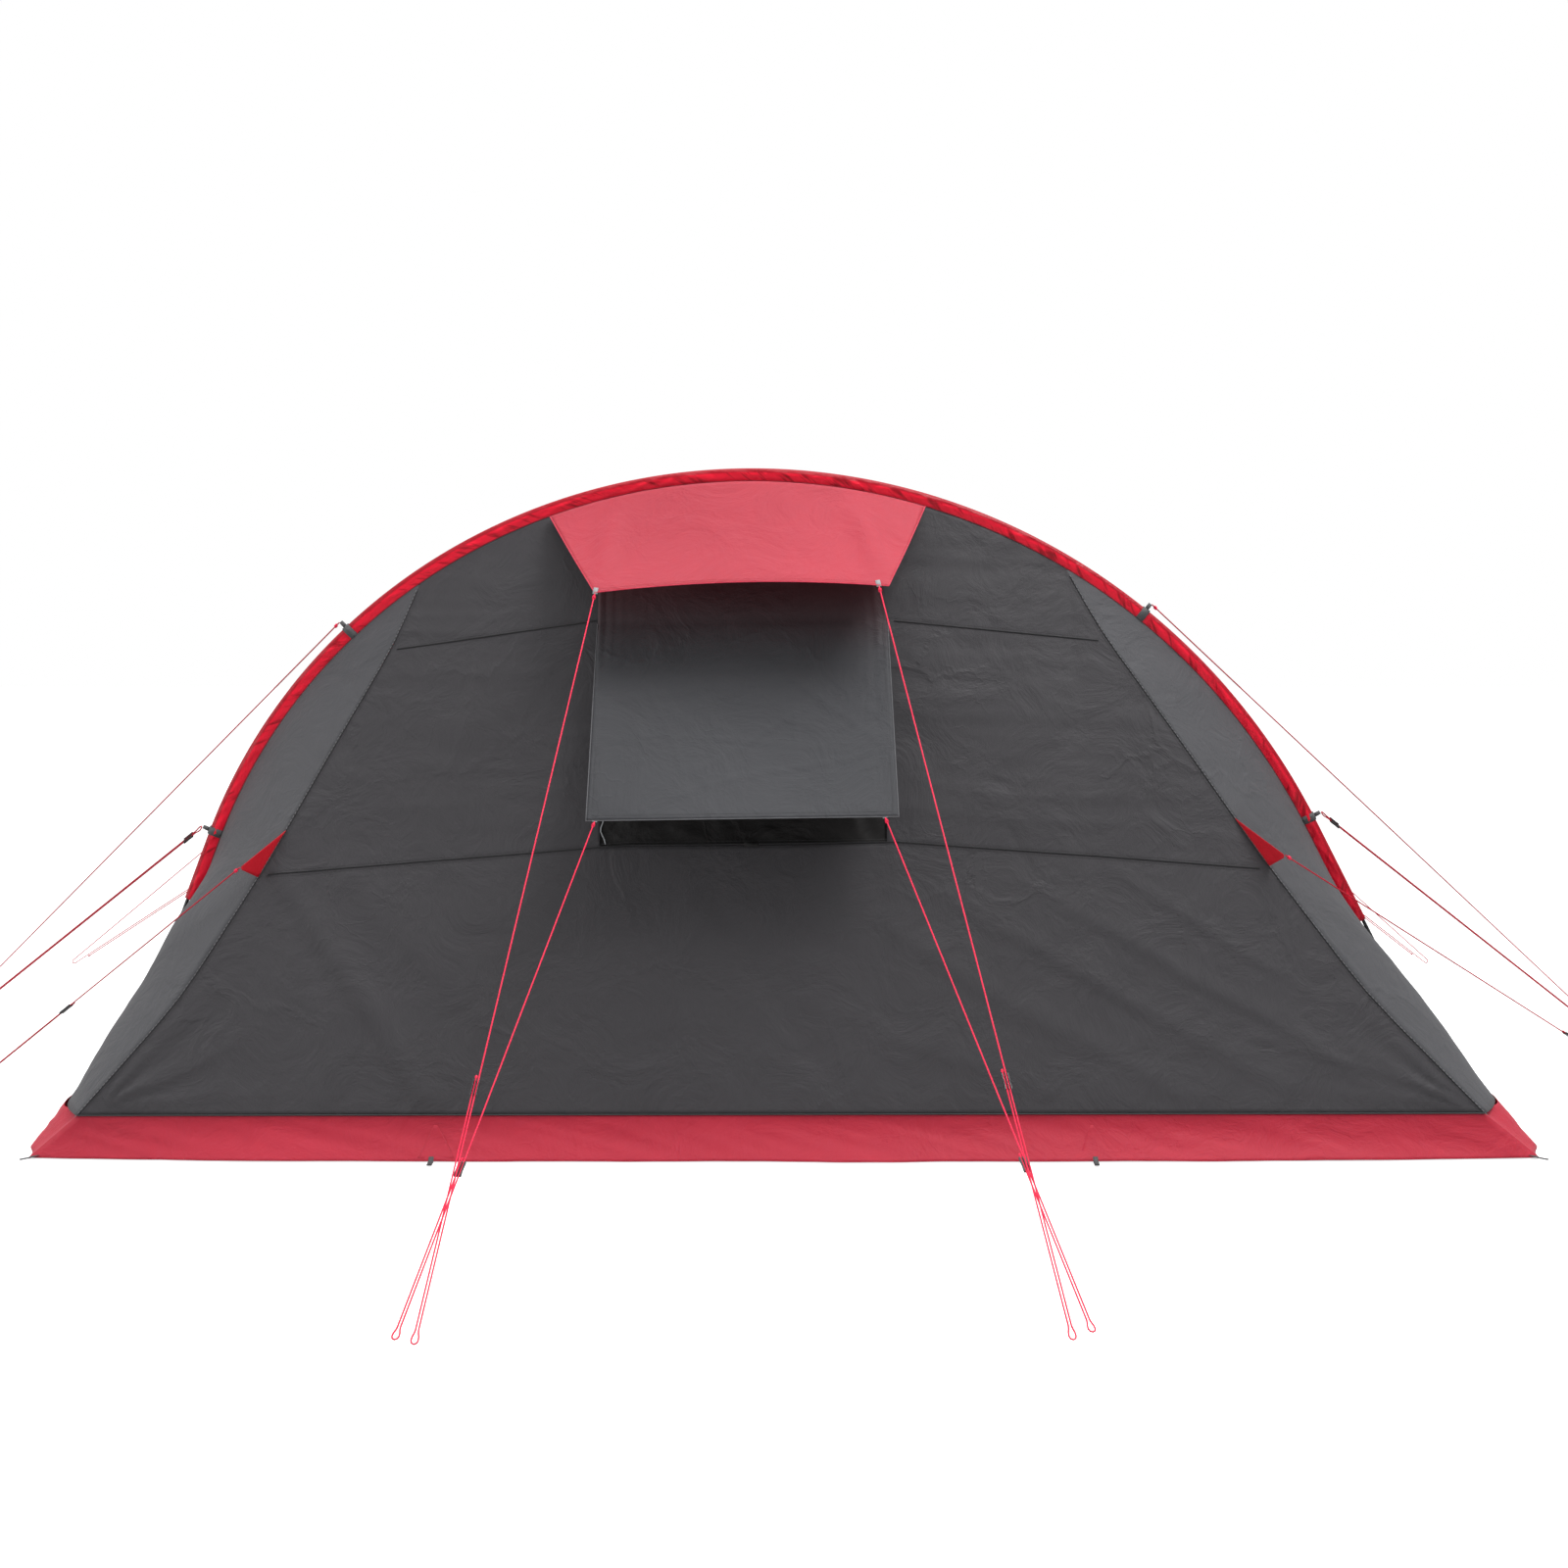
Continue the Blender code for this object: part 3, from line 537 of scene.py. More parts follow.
hood_low = {"left": settle((-0.430, -1.780, 1.638)), "right": settle((0.403, -1.776, 1.641))}
flap_low = {"left": settle((-0.470, -1.948, 0.9785)), "right": settle((0.365, -1.947, 0.9785))}
patch_tip = {w: settle((1.540 * s, -1.800, 0.840)) for w, s in SIDES.items()}
routes = {
    "hood_left": single_route(hood_low["left"], (-0.784, -3.618, STAKE_Z), 0.713),
    "hood_right": single_route(hood_low["right"], (0.623, -3.588, STAKE_Z), 0.711),
    "flap_left": single_route(flap_low["left"], (-0.831, -3.588, STAKE_Z), 0.715),
    "flap_right": single_route(flap_low["right"], (0.672, -3.538, STAKE_Z), 0.716),
    "patch_left": single_route(patch_tip["left"], (-2.648, -1.469, STAKE_Z), 0.544),
    "patch_right": single_route(patch_tip["right"], (2.844, -1.294, STAKE_Z), 0.707),
}
ARCH_PEGS = {
    ("rear", "left"): (-3.078, -0.623, STAKE_Z), ("rear", "right"): (3.018, -0.487, STAKE_Z),
    ("front", "left"): (-3.198, 1.422, STAKE_Z), ("front", "right"): (2.897, 1.435, STAKE_Z),
}
for (place, word), ground in ARCH_PEGS.items():
    inset = -0.026 if place == "rear" else -0.016
    high, low = (band_point(SIDES[word] * run, inset, PLANES[place]) for run in BAND_RUNS.values())
    routes[place + "_" + word] = vee_route(high, low, ground)


def length_of(route):
    return sum((b - a).length for a, b in zip(route, route[1:]))


for name, (route, *_) in routes.items():
    print("guyline", name, round(length_of(route), 3), "m")

# %% Cords as round curves
KNOT_SWELL = 1.8
for name, (route, *_) in routes.items():
    curve = poly_curve("cord_" + name, [route])
    curve.bevel_depth = CORD_R
    curve.bevel_resolution = 3
    curve.use_fill_caps = True
    for spot in list(curve.splines[0].points)[-3:-1]:
        spot.radius = KNOT_SWELL
    # The side lines take the darker copy of the cord colour, painted shade.
    curve.materials.append(cord_red if name.startswith(("hood", "flap")) else cord_painted_shade)
    entered(placed("cord_" + name, curve),
                                stands_for=["guyline_" + name])

# %% [markdown]
# ## A sheet of cloth
# Every panel is a fine grid of points on its surface, moved in or out along its normal by a
# rule for its folds, then given its thickness by Solidify. The UV map is laid out in metres by
# measuring along the grid, so the weave keeps its size on every panel.


# %% Making a panel from a grid
CENTRE = Vector((0, 0, 0.8))
THIN = 0.0010


def grid_normals(grid):
    high, wide = len(grid), len(grid[0])
    normals = []
    for i in range(high):
        for j in range(wide):
            down = grid[min(i + 1, high - 1)][j] - grid[max(i - 1, 0)][j]
            over = grid[i][min(j + 1, wide - 1)] - grid[i][max(j - 1, 0)]
            normals.append(down.cross(over).normalized())
    middle = grid[high // 2][wide // 2]
    facing = normals[(high // 2) * wide + wide // 2].dot(middle - CENTRE)
    return [n if facing > 0 else -n for n in normals], facing > 0


def cloth(name, rows, finish, folds=None, hole=None, thick=THIN, body="tent", stands_for=(),
          lean=True):
    """A panel of cloth. hole is (first row, last row, first column, last column) left open."""
    flat = [[Vector(p) for p in row] for row in rows]
    grid = [[settle(p) if lean else p for p in row] for row in flat]
    high, wide = len(grid), len(grid[0])
    normals, forward = grid_normals(grid)
    form = bmesh.new()
    uv = form.loops.layers.uv.new("cloth")
    places = []
    verts = []
    for i in range(high):
        along = 0.0
        for j in range(wide):
            if j:
                along += (grid[i][j] - grid[i][j - 1]).length
            down = 0.0
            if i:
                down = places[(i - 1) * wide + j][1] + (grid[i][j] - grid[i - 1][j]).length
            places.append((along, down))
            shift = folds(flat[i][j], i / (high - 1), j / (wide - 1)) if folds else 0.0
            verts.append(form.verts.new(grid[i][j] + normals[i * wide + j] * shift))
    area = 0.0
    for i in range(high - 1):
        for j in range(wide - 1):
            if hole and hole[0] <= i < hole[1] and hole[2] <= j < hole[3]:
                continue
            corners = [i * wide + j, (i + 1) * wide + j, (i + 1) * wide + j + 1, i * wide + j + 1]
            if not forward:
                corners.reverse()
            face = form.faces.new([verts[k] for k in corners])
            face.smooth = True
            area += face.calc_area()
            for loop, k in zip(face.loops, corners):
                loop[uv].uv = places[k]
    form.normal_update()
    bmesh.ops.delete(form, geom=[v for v in form.verts if not v.link_faces], context="VERTS")
    piece = entered(modelled(name, form, finish), body, stands_for, thick)
    return piece


def spread(low, high, count):
    return [low + (high - low) * k / count for k in range(count + 1)]


def rising(edge, width, value):
    """0 before edge, 1 after edge + width, eased between."""
    t = min(max((value - edge) / width, 0.0), 1.0)
    return t * t * (3 - 2 * t)


def ripple(point, sx, sz, seed, turn=0.0):
    """Smooth noise drawn out along a direction, for folds: from -1 to 1."""
    x = point.x * math.cos(turn) - point.z * math.sin(turn)
    z = point.x * math.sin(turn) + point.z * math.cos(turn)
    return noise.noise(Vector((x * sx, seed, z * sz)))


def ridged(point, sx, sz, seed, turn=0.0):
    """Sharp-backed folds, from 0 to 1."""
    return 1 - min(abs(ripple(point, sx, sz, seed, turn)) * 2.2, 1.0)


def flat_at(i, j, width, height):
    """0 on the edges of a panel, 1 from width and height of its size inwards."""
    return rising(0, width, min(j, 1 - j)) * rising(0, height, i) * rising(0, height, 1 - i)


# %% [markdown]
# ## The window wall
# The big end wall is cut in three: above, beside and below the window, joined by two level
# seams, and it is left open where the window is. Pulled between the arch and the ground, it
# shows faint level ripples above, slanting pulls towards the lower corners, and short gathers
# next to each seam where the thread has drawn the cloth in.

# %% Wall folds and grid
WINDOW_Z = (0.883, 1.50)


def window_left(z):
    return -0.482 + 0.076 * (z - 0.87)


def window_right(z):
    return 0.372 + 0.076 * (z - 0.87)


def upper_seam(x):
    return 1.607 - 0.117 * abs(x) - (0.018 if x > 0 else 0)


def lower_seam(x):
    return 0.885 - (0.085 if x > 0 else 0.072) * max(abs(x) - 0.40, 0)


# Each pull: where it starts and ends on the wall, how wide and how deep it is.
PULLS = (
    ((-1.45, 0.80), (-1.02, 0.15), 0.050, 0.0130), ((-1.42, 0.62), (-1.30, 0.22), 0.026, 0.0045),
    ((-1.30, 0.84), (-0.75, 0.30), 0.060, 0.0050), ((-0.20, 0.80), (0.15, 0.20), 0.050, -0.0040),
    ((0.30, 0.66), (1.15, 0.17), 0.040, 0.0050), ((0.55, 0.72), (1.40, 0.22), 0.035, 0.0050),
    ((0.85, 0.72), (1.62, 0.26), 0.030, 0.0045), ((1.05, 0.78), (1.55, 0.46), 0.022, 0.0035),
    ((0.20, 0.40), (0.80, 0.14), 0.030, 0.0030), ((1.45, 0.30), (1.98, 0.15), 0.014, 0.0050),
    ((1.55, 0.24), (1.99, 0.145), 0.010, 0.0045), ((-1.62, 0.30), (-1.97, 0.15), 0.012, 0.0045),
    ((0.55, 1.28), (1.05, 1.36), 0.018, 0.0018), ((0.60, 1.02), (1.25, 0.98), 0.016, 0.0025),
    ((0.70, 0.95), (1.35, 0.89), 0.012, 0.0022), ((-1.20, 1.08), (-0.55, 1.14), 0.018, 0.0018),
    ((-1.25, 0.98), (-0.60, 1.03), 0.014, 0.0016), ((-0.95, 1.38), (-0.55, 1.42), 0.014, 0.0014),
)


def pulled(p, pulls):
    """How far a few long folds lift the cloth at a point."""
    lift = 0.0
    for (x0, z0), (x1, z1), width, depth in pulls:
        dx, dz = x1 - x0, z1 - z0
        size = dx * dx + dz * dz
        t = ((p.x - x0) * dx + (p.z - z0) * dz) / size
        if -0.15 < t < 1.15:
            off = ((p.x - x0) * dz - (p.z - z0) * dx) / math.sqrt(size)
            off += 0.02 * noise.noise(Vector((p.x * 3, p.z * 3, depth * 900)))
            ends = math.sin(math.pi * min(max((t + 0.15) / 1.3, 0), 1)) ** 0.7
            lift += depth * ends * math.exp(-(off / width) ** 2 * (2.5 if off > 0 else 0.7))
    return lift


def wall_folds(p, i, j):
    fade = rising(0, 0.02, min(j, 1 - j)) * rising(0, 0.03, i) * rising(0, 0.02, 1 - i)
    high = rising(0.80, 0.20, p.z)
    level = high * (0.0026 * ripple(p, 1.2, 9, 3.1, 0.05) + 0.0016 * ridged(p, 1.4, 17, 21, 0.07))
    right = 0.0032 * ridged(p, 1.1, 6.5, 8.2, -0.72) * rising(0.25, 0.5, p.x)
    left = 0.0026 * ridged(p, 1.0, 5.0, 14.0, -0.85) * rising(-0.2, 0.5, -p.x)
    middle = 0.0014 * ridged(p, 2.2, 3.0, 5.5, 0.6) * rising(-0.82, 0.2, -p.z)
    slanting = right * rising(-0.85, 0.25, -p.z) + left * rising(-0.85, 0.2, -p.z) + middle
    gather = 0.0
    for seam, depth in ((upper_seam(p.x), 0.0009), (lower_seam(p.x), 0.0013), (HEM_Z, 0.0016)):
        near = math.exp(-abs(p.z - seam) / 0.05)
        gather += depth * near * ripple(p, 16, 2.5, seam * 7)
    corner = Vector((abs(p.x) - 1.98, 0, p.z - 0.14))
    pull = 0.012 * math.exp(-corner.length / 0.15) * math.sin(17 * math.atan2(corner.z, -corner.x))
    fine = 0.0004 * ripple(p, 9, 14, 2.7, 0.3)
    return fade * (level + slanting * 0.6 + gather + pull + fine + pulled(p, PULLS))


def wall_rows(sign, left, right, opening, counts):
    """Rows of an end wall whose columns run along its opening, and the hole that it leaves."""
    below, beside, above, side_columns, middle_columns = counts

    def row(z_of, reach, left_x, right_x):
        xs = spread(-reach, left_x, side_columns)[:-1]
        xs += spread(left_x, right_x, middle_columns)[:-1] + spread(right_x, reach, side_columns)
        return [(x, z_of(x)) for x in xs]

    rows = []
    for z in spread(HEM_Z, opening[0], below)[:-1] + spread(*opening, beside):
        line = row(lambda x: z, seam_x(z) - 0.001, left(z), right(z))
        rows.append([(x, sign * wall_y(x, z), z) for x, z in line])
    last = rows[-1]
    top = row(lambda x: arch_height(x, FLY_IN), SEAM_TOP - 0.001, left(1.9), right(1.9))
    for share in spread(0, 1, above)[1:]:
        line = []
        for (x0, _, z0), (x1, z1) in zip(last, top):
            x, z = x0 + (x1 - x0) * share, z0 + (z1 - z0) * share
            line.append((x, sign * wall_y(x, z), z))
        rows.append(line)
    return rows, (below, below + beside, side_columns, side_columns + middle_columns)


wall, opening = wall_rows(-1, window_left, window_right, WINDOW_Z, (50, 42, 30, 100, 44))
cloth("rear_wall_cloth", wall, charcoal, wall_folds, hole=opening, stands_for=["rear_wall"])

# %% [markdown]
# ## Corner panels
# On each side a narrow panel closes the gap between the wall's corner seam and the pole. Low
# down it swells out sideways as it nears its ground corner. It faces the light from the side,
# and its cloth is also a paler copy of the wall's, painted side light, so it looks paler than
# the wall.

# %% Corner panels
def corner_rows(sign, side):
    rows = []
    for z in spread(HEM_Z, 1.680, 90):
        x = seam_x(z)
        start = Vector((x, wall_y(x, z), z))
        end = Vector((half_width(z, FLY_IN), WALL_TOP_Y, z))
        row = []
        for t in spread(0, 1, 24):
            p = start.lerp(end, t) + Vector((swell(z, side) * 4 * t * (1 - t), 0, 0))
            row.append((side * p.x, sign * p.y, p.z))
        rows.append(row)
    return rows


def corner_folds(p, i, j):
    fade = rising(0, 0.12, j) * rising(0, 0.12, 1 - j)
    level = 0.0016 * ripple(p, 1.5, 7, 4.4)
    foot = 0.007 * math.exp(-abs(p.z - 0.17) / 0.12) * ripple(p, 5, 18, 7.7, 0.7)
    top = 0.002 * math.exp(-abs(p.z - 1.60) / 0.25) * ripple(p, 5, 20, 9.7, 0.2)
    return fade * (level + foot + top) + 0.0012 * rising(0, 0.05, i) * ripple(p, 10, 10, 1.2) * fade


for place, sign in (("rear", -1), ("front", 1)):
    for word, side in SIDES.items():
        # The corner panels' paler cloth is painted side light.
        cloth(f"{place}_corner_{word}_cloth", corner_rows(sign, side), pale_grey_and_painted_side_light, corner_folds,
              stands_for=[f"{place}_corner_{word}"])

# %% [markdown]
# ## Roof and sides
# Between the arches the fly is one long sheet: red over the top and pale grey down the legs.
# Tension pulls it in between the poles, and folds run from each foot up towards the middle.


# %% Roof and side panels
def roof_folds(p, i, j):
    edge = math.sin(math.pi * p.y / END_Y) ** 2
    spot = Vector((p.x + p.z, 0, p.y))
    return edge * (0.004 * ridged(spot, 1.6, 2.2, 6.0) + 0.002 * ripple(spot, 4, 5, 2.0))


fly_y = spread(-END_Y + 0.0015, END_Y - 0.0015, 64)
roof = [[at_arch(run, fly_sag(y), y) for y in fly_y] for run in spread(-EAVE_RUN, EAVE_RUN, 110)]
cloth("roof_cloth", roof, skirt_red, roof_folds, stands_for=["roof"])
for word, side in SIDES.items():
    rows = []
    for t in spread(0, 1, 30):
        row = []
        for y in fly_y:
            high = arch(side * EAVE_RUN, fly_sag(y))
            low = (side * half_width(HEM_Z, fly_sag(y)), HEM_Z)
            row.append((high[0] + (low[0] - high[0]) * t, y, high[1] + (low[1] - high[1]) * t))
        rows.append(row)
    cloth(word + "_side_cloth", rows, pale_grey_and_painted_side_light, roof_folds, stands_for=[word + "_side"])

# %% [markdown]
# ## Rain hood
# The hood is a trapezoid of red cloth, sewn to the arch along its top and pulled down and out
# at its two lower corners by cords. Two shallow folds run from the top to those corners, and
# the lower edge rises in the middle. Light comes through it; the reddish shade that it casts
# on the flap below is painted into the flap's colour.


# %% Hood
def hood_point(u, v):
    """u from -1 to 1 across, v from 0 at the arch to 1 at the lower edge."""
    top_x, low_x = 0.578 * u, 0.432 * u
    top = Vector((top_x, -1.452, arch_height(top_x, 0.041)))
    rise = 1 - u * u
    low = Vector((low_x, -1.78 + 0.030 * rise, 1.638 + 0.022 * rise))
    point = top.lerp(low, v)
    fold = math.exp(-((abs(u) - (0.60 + 0.36 * v)) / 0.08) ** 2) * math.sin(math.pi * v) ** 1.5
    point.z += 0.018 * fold - 0.022 * math.sin(math.pi * v) * (1 - 0.85 * u ** 4)
    return point


def hood_folds(p, i, j):
    return 0.0008 * ripple(p, 7, 12, 5.0, 0.4) * math.sin(math.pi * j)


hood_rows = [[hood_point(u, v) for u in spread(-1, 1, 90)] for v in spread(0, 1, 40)]
cloth("vent_hood_cloth", hood_rows, rose, hood_folds, stands_for=["vent_hood"])


# %% [markdown]
# ## Window flap
# The flap is sewn to the wall above the window and held out by two more cords, so it hangs
# forward like an awning. It is nearly flat, with a shallow bow in the middle, faint crossing
# creases, and gathers where its top corners are sewn down.

# %% Flap
FLAP_TOP = 1.545


def flap_point(u, v):
    top_x, low_x = -0.450 + 0.882 * u, -0.496 + 0.901 * u
    bow = math.sin(math.pi * u)
    top = Vector((top_x, -wall_y(top_x, FLAP_TOP) - 0.007, FLAP_TOP))
    low = Vector((low_x, -1.95 + 0.004 * bow, 0.9785))
    return top.lerp(low, v) + Vector((0, 0.035, -0.01)) * math.sin(math.pi * v) * bow


FLAP_PULLS = (
    ((-0.40, 1.32), (0.10, 1.36), 0.006, 0.0029), ((-0.15, 1.12), (0.25, 1.34), 0.006, 0.0036),
    ((-0.05, 1.08), (0.32, 1.16), 0.005, 0.0029), ((-0.42, 1.20), (0.30, 1.17), 0.005, 0.0022),
    ((0.05, 1.42), (0.36, 1.20), 0.006, 0.0029), ((-0.30, 1.02), (0.02, 1.10), 0.005, 0.0025),
    ((0.12, 1.02), (0.14, 1.45), 0.004, 0.0018), ((-0.35, 1.46), (-0.20, 1.05), 0.006, 0.0022),
)


def flap_folds(p, i, j):
    side = min(j, 1 - j)
    below = max(FLAP_TOP - p.z, 0)
    near = math.exp(-side / 0.05) * math.exp(-below / 0.14)
    gather = 0.0045 * near * math.sin(side * 170 + 2 * j)
    pull = 0.0016 * ridged(p, 2.0, 6.0, 3.3, 0.55) + 0.0012 * ridged(p, 1.0, 7.0, 6.1, -0.35)
    lift = gather + pull * math.sin(math.pi * i) + pulled(p, FLAP_PULLS)
    return lift * rising(0, 0.01, side) - 0.0026 * math.exp(-((p.z - FLAP_TOP) / 0.012) ** 2)


flap_rows = []
for z in spread(1.74, FLAP_TOP, 14)[:-1]:
    edges = flap_point(0, 0).x + 0.08 * (z - FLAP_TOP), flap_point(1, 0).x - 0.06 * (z - FLAP_TOP)
    flap_rows.append([(x, -wall_y(x, z) - 0.006, z) for x in spread(*edges, 90)])
flap_rows += [[flap_point(u, v) for u in spread(0, 1, 90)] for v in spread(0, 1, 60)]
cloth("window_flap_cloth", flap_rows, flap_grey, flap_folds, stands_for=["window_flap"])


# %% [markdown]
# ## Window net
# Behind the flap the opening is filled by loose black net, which crinkles more than the taut
# cloth round it. Below the flap only a dark slot of it shows.

# %% Net
def net_folds(p, i, j):
    crinkle = 0.007 * ridged(p, 9, 14, 2.2, 0.8) + 0.004 * ridged(p, 13, 6, 9.0, -0.5)
    return flat_at(i, j, 0.05, 0.05) * (crinkle - 0.006) - 0.006


net_rows = []
for z in spread(WINDOW_Z[0] - 0.004, WINDOW_Z[1] + 0.004, 60):
    left, right = window_left(z) - 0.004, window_right(z) + 0.004
    net_rows.append([(x, -wall_y(x, z), z) for x in spread(left, right, 80)])
cloth("window_net_cloth", net_rows, net_black, net_folds, stands_for=["window_net"])


# %% [markdown]
# ## Ground skirt
# A red skirt is sewn to the bottom of the fly all round and reaches the ground, flaring at the
# corners. It hangs fairly loose: its lower edge wanders and shallow waves run up from it.

# %% Skirts
def skirt_folds(p, i, j):
    spot = Vector((p.x + p.y, 0, p.z))
    loose = math.sin(math.pi * min(i * 0.9, 1))
    wave = 0.006 * ripple(spot, 2.6, 3.0, 5.0, 0.3) + 0.004 * ridged(spot, 2.5, 17, 1.5, 0.35)
    ends = rising(0, 0.03, min(j, 1 - j))
    return ends * loose * (wave + 0.0015 * ripple(spot, 14, 30, 7.5, -0.4))


def skirt_corner(t):
    """Where the rear and side skirts meet, from the hem at 0 to the ground at 1."""
    return 2.038 + 0.140 * t, BASE_Y + 0.034 * t * t + 0.004 * t


def skirt_spill(t, u, sign=-1):
    """How much further an end skirt reaches out over the ground between its corners."""
    return (0.045 + 0.014 * noise.noise(Vector((u * 5, 3, sign)))) * t * t * (1 - u ** 4)


for place, sign in (("rear", -1), ("front", 1)):
    rows = []
    for t in spread(0, 1, 16):
        wide, out = skirt_corner(t)
        row = []
        for u in spread(-1, 1, 180):
            y = sign * (out + skirt_spill(t, u, sign))
            row.append((wide * u, y, HEM_Z + (0.0035 - HEM_Z) * t))
        rows.append(row)
    cloth(place + "_skirt_cloth", rows, skirt_red, skirt_folds, stands_for=[place + "_skirt"])
for word, side in SIDES.items():
    rows = []
    for t in spread(0, 1, 16):
        row = []
        wide, reach = skirt_corner(t)
        for y in spread(-reach, reach, 160):
            corner = max(0.0, (abs(y) - END_Y) / 0.57)
            share = min(max((BASE_Y - abs(y)) / (BASE_Y - WALL_TOP_Y), 0), 1)
            top = half_width(HEM_Z, fly_sag(min(abs(y), END_Y))) + 0.008 * corner
            top += swell(HEM_Z) * 4 * share * (1 - share)
            out = top + (0.054 + 0.092 * corner ** 2) * t
            out += (wide - out) * rising(0.93, 0.07, abs(y) / reach)
            row.append((side * out, y, HEM_Z + (0.004 - HEM_Z) * t))
        rows.append(row)
    cloth(word + "_skirt_cloth", rows, skirt_red, skirt_folds, stands_for=[word + "_skirt"])

# %% [markdown]
# ## Pole sleeves
# A sleeve is a folded strip sewn to the fly, teardrop-shaped in section, with the pole in its
# outer edge. It isn't pulled evenly, so it puckers: ridges run along it and slant across.

# %% Sleeves
SLEEVE_DEEP = 0.045
TEARDROP = ((0, 0.0), (0.0012, 0.0036), (0.0045, 0.0066), (0.009, 0.0088), (0.014, 0.0094),
            (0.019, 0.0092), (0.024, 0.0084), (0.029, 0.0072), (0.034, 0.0058), (0.039, 0.0042),
            (SLEEVE_DEEP, 0.0020))
SLEEVE_FOOT = {-1: 0.70, 1: 0.60}


def sleeve(place):
    plane = PLANES[place]
    ring = list(TEARDROP) + [(d, -y) for d, y in reversed(TEARDROP[1:])]
    form = bmesh.new()
    uv = form.loops.layers.uv.new("cloth")
    runs = spread(-run_at(SLEEVE_FOOT[-1], 0), run_at(SLEEVE_FOOT[1], 0), 700)
    loops = []
    for run in runs:
        loop = []
        for k, (inset, across) in enumerate(ring):
            deep = inset / SLEEVE_DEEP
            spot = Vector((run, 0, inset * 6 + (0.3 if across < 0 else 0)))
            middle = math.sin(math.pi * min(deep * 1.1, 1))
            lean = -0.9 if noise.noise(Vector((run * 1.3, plane, 5))) > 0 else -2.2
            pucker = 0.0062 * ridged(spot, 2.2, 11, plane + 4, lean) * middle
            pucker += 0.0030 * ridged(spot, 4, 21, plane + 9, -1.2) * middle - 0.0035 * middle
            push = math.copysign(pucker, across) if across else 0
            loop.append(form.verts.new(settle(at_arch(run, inset, plane + across + push))))
        loops.append(loop)
    size = len(ring)
    for a, b, run in zip(loops, loops[1:], runs):
        for k in range(size):
            n = (k + 1) % size
            face = form.faces.new([a[k], a[n], b[n], b[k]])
            face.smooth = True
            for loop, (step, which) in zip(face.loops, ((0, k), (0, n), (1, n), (1, k))):
                loop[uv].uv = (run + step * 0.0072, ring[which][0])
    bmesh.ops.recalc_face_normals(form, faces=form.faces)
    entered(modelled(place + "_sleeve_cloth", form, sleeve_cloth),
            stands_for=[place + "_sleeve"], thick=0.0006)


for place in PLANES:
    sleeve(place)
print("sleeves end", SLEEVE_FOOT[-1], "and", SLEEVE_FOOT[1], "m above the ground")

# %% [markdown]
# ## Pieces that follow a line
# Poles, piping and stitches all follow a path, which is work for Geometry Nodes: one tree
# sweeps a round section along a line, the other sets short pieces along it at a spacing.
# Each result is turned into a plain mesh before anything else is done with it.


# %% Trees for sweeping and for setting along a line
def new_tree(name, inputs):
    tree = bpy.data.node_groups.new(name, "GeometryNodeTree")
    tree.interface.new_socket("Geometry", in_out="INPUT", socket_type="NodeSocketGeometry")
    for label, kind in inputs:
        tree.interface.new_socket(label, in_out="INPUT", socket_type="NodeSocket" + kind)
    tree.interface.new_socket("Geometry", in_out="OUTPUT", socket_type="NodeSocketGeometry")
    return tree, tree.nodes.new("NodeGroupInput").outputs, tree.nodes.new("NodeGroupOutput").inputs


def finished(tree, given, result, shape):
    """Ends a tree: its shape is made real and takes the finish."""
    real = node(tree, "GeometryNodeRealizeInstances", Geometry=shape)
    done = node(tree, "GeometryNodeSetMaterial", Geometry=real.outputs["Geometry"],
                Material=given["Finish"])
    tree.links.new(done.outputs["Geometry"], result["Geometry"])
    return tree


def sweep_tree():
    tree, given, result = new_tree("sweep", [("Radius", "Float"), ("Finish", "Material")])
    ring = node(tree, "GeometryNodeCurvePrimitiveCircle", Resolution=10, Radius=given["Radius"])
    tube = node(tree, "GeometryNodeCurveToMesh", Curve=given["Geometry"],
                Profile_Curve=ring.outputs["Curve"], Fill_Caps=True)
    smooth = node(tree, "GeometryNodeSetShadeSmooth", Geometry=tube.outputs["Mesh"])
    return finished(tree, given, result, smooth.outputs["Geometry"])


def row_tree():
    tree, given, result = new_tree("row", [("Spacing", "Float"), ("Length", "Float"),
                                           ("Radius", "Float"), ("Finish", "Material")])
    points = node(tree, "GeometryNodeCurveToPoints", {"mode": "LENGTH"},
                  Curve=given["Geometry"], Length=given["Spacing"])
    bit = node(tree, "GeometryNodeMeshCylinder", Vertices=6, Radius=given["Radius"],
               Depth=given["Length"])
    turn = node(tree, "FunctionNodeAlignRotationToVector", {"axis": "Z"},
                Vector=points.outputs["Tangent"])
    bits = node(tree, "GeometryNodeInstanceOnPoints", Points=points.outputs["Points"],
                Instance=bit.outputs["Mesh"], Rotation=turn.outputs["Rotation"])
    return finished(tree, given, result, bits.outputs["Instances"])


SWEEP, ROW = sweep_tree(), row_tree()


def along(name, tree, paths, body="tent", slot="grey_cloth", stands_for=(), **values):
    """Runs a tree over one or more lines of points and keeps the result as a plain mesh."""
    holder = placed(name + " path", poly_curve(name, paths))
    way = holder.modifiers.new("way", "NODES")
    way.node_group = tree
    for item in tree.interface.items_tree:
        if item.in_out == "INPUT" and item.name in values:
            way[item.identifier] = values[item.name]
    made = bpy.data.meshes.new_from_object(
        holder.evaluated_get(bpy.context.evaluated_depsgraph_get()))
    bpy.data.objects.remove(holder)
    made.name = name
    if not made.materials:
        made.materials.append(values["Finish"])
    print(f"{name}: {len(made.polygons)} faces")
    return entered(placed(name, made), body, stands_for)


# %% [markdown]
# ## Poles
# Each pole is a lacquered rod of sections joined by steel ferrules, which show as thin rings.
# Most of it is hidden in its sleeve; the bare end shows below.

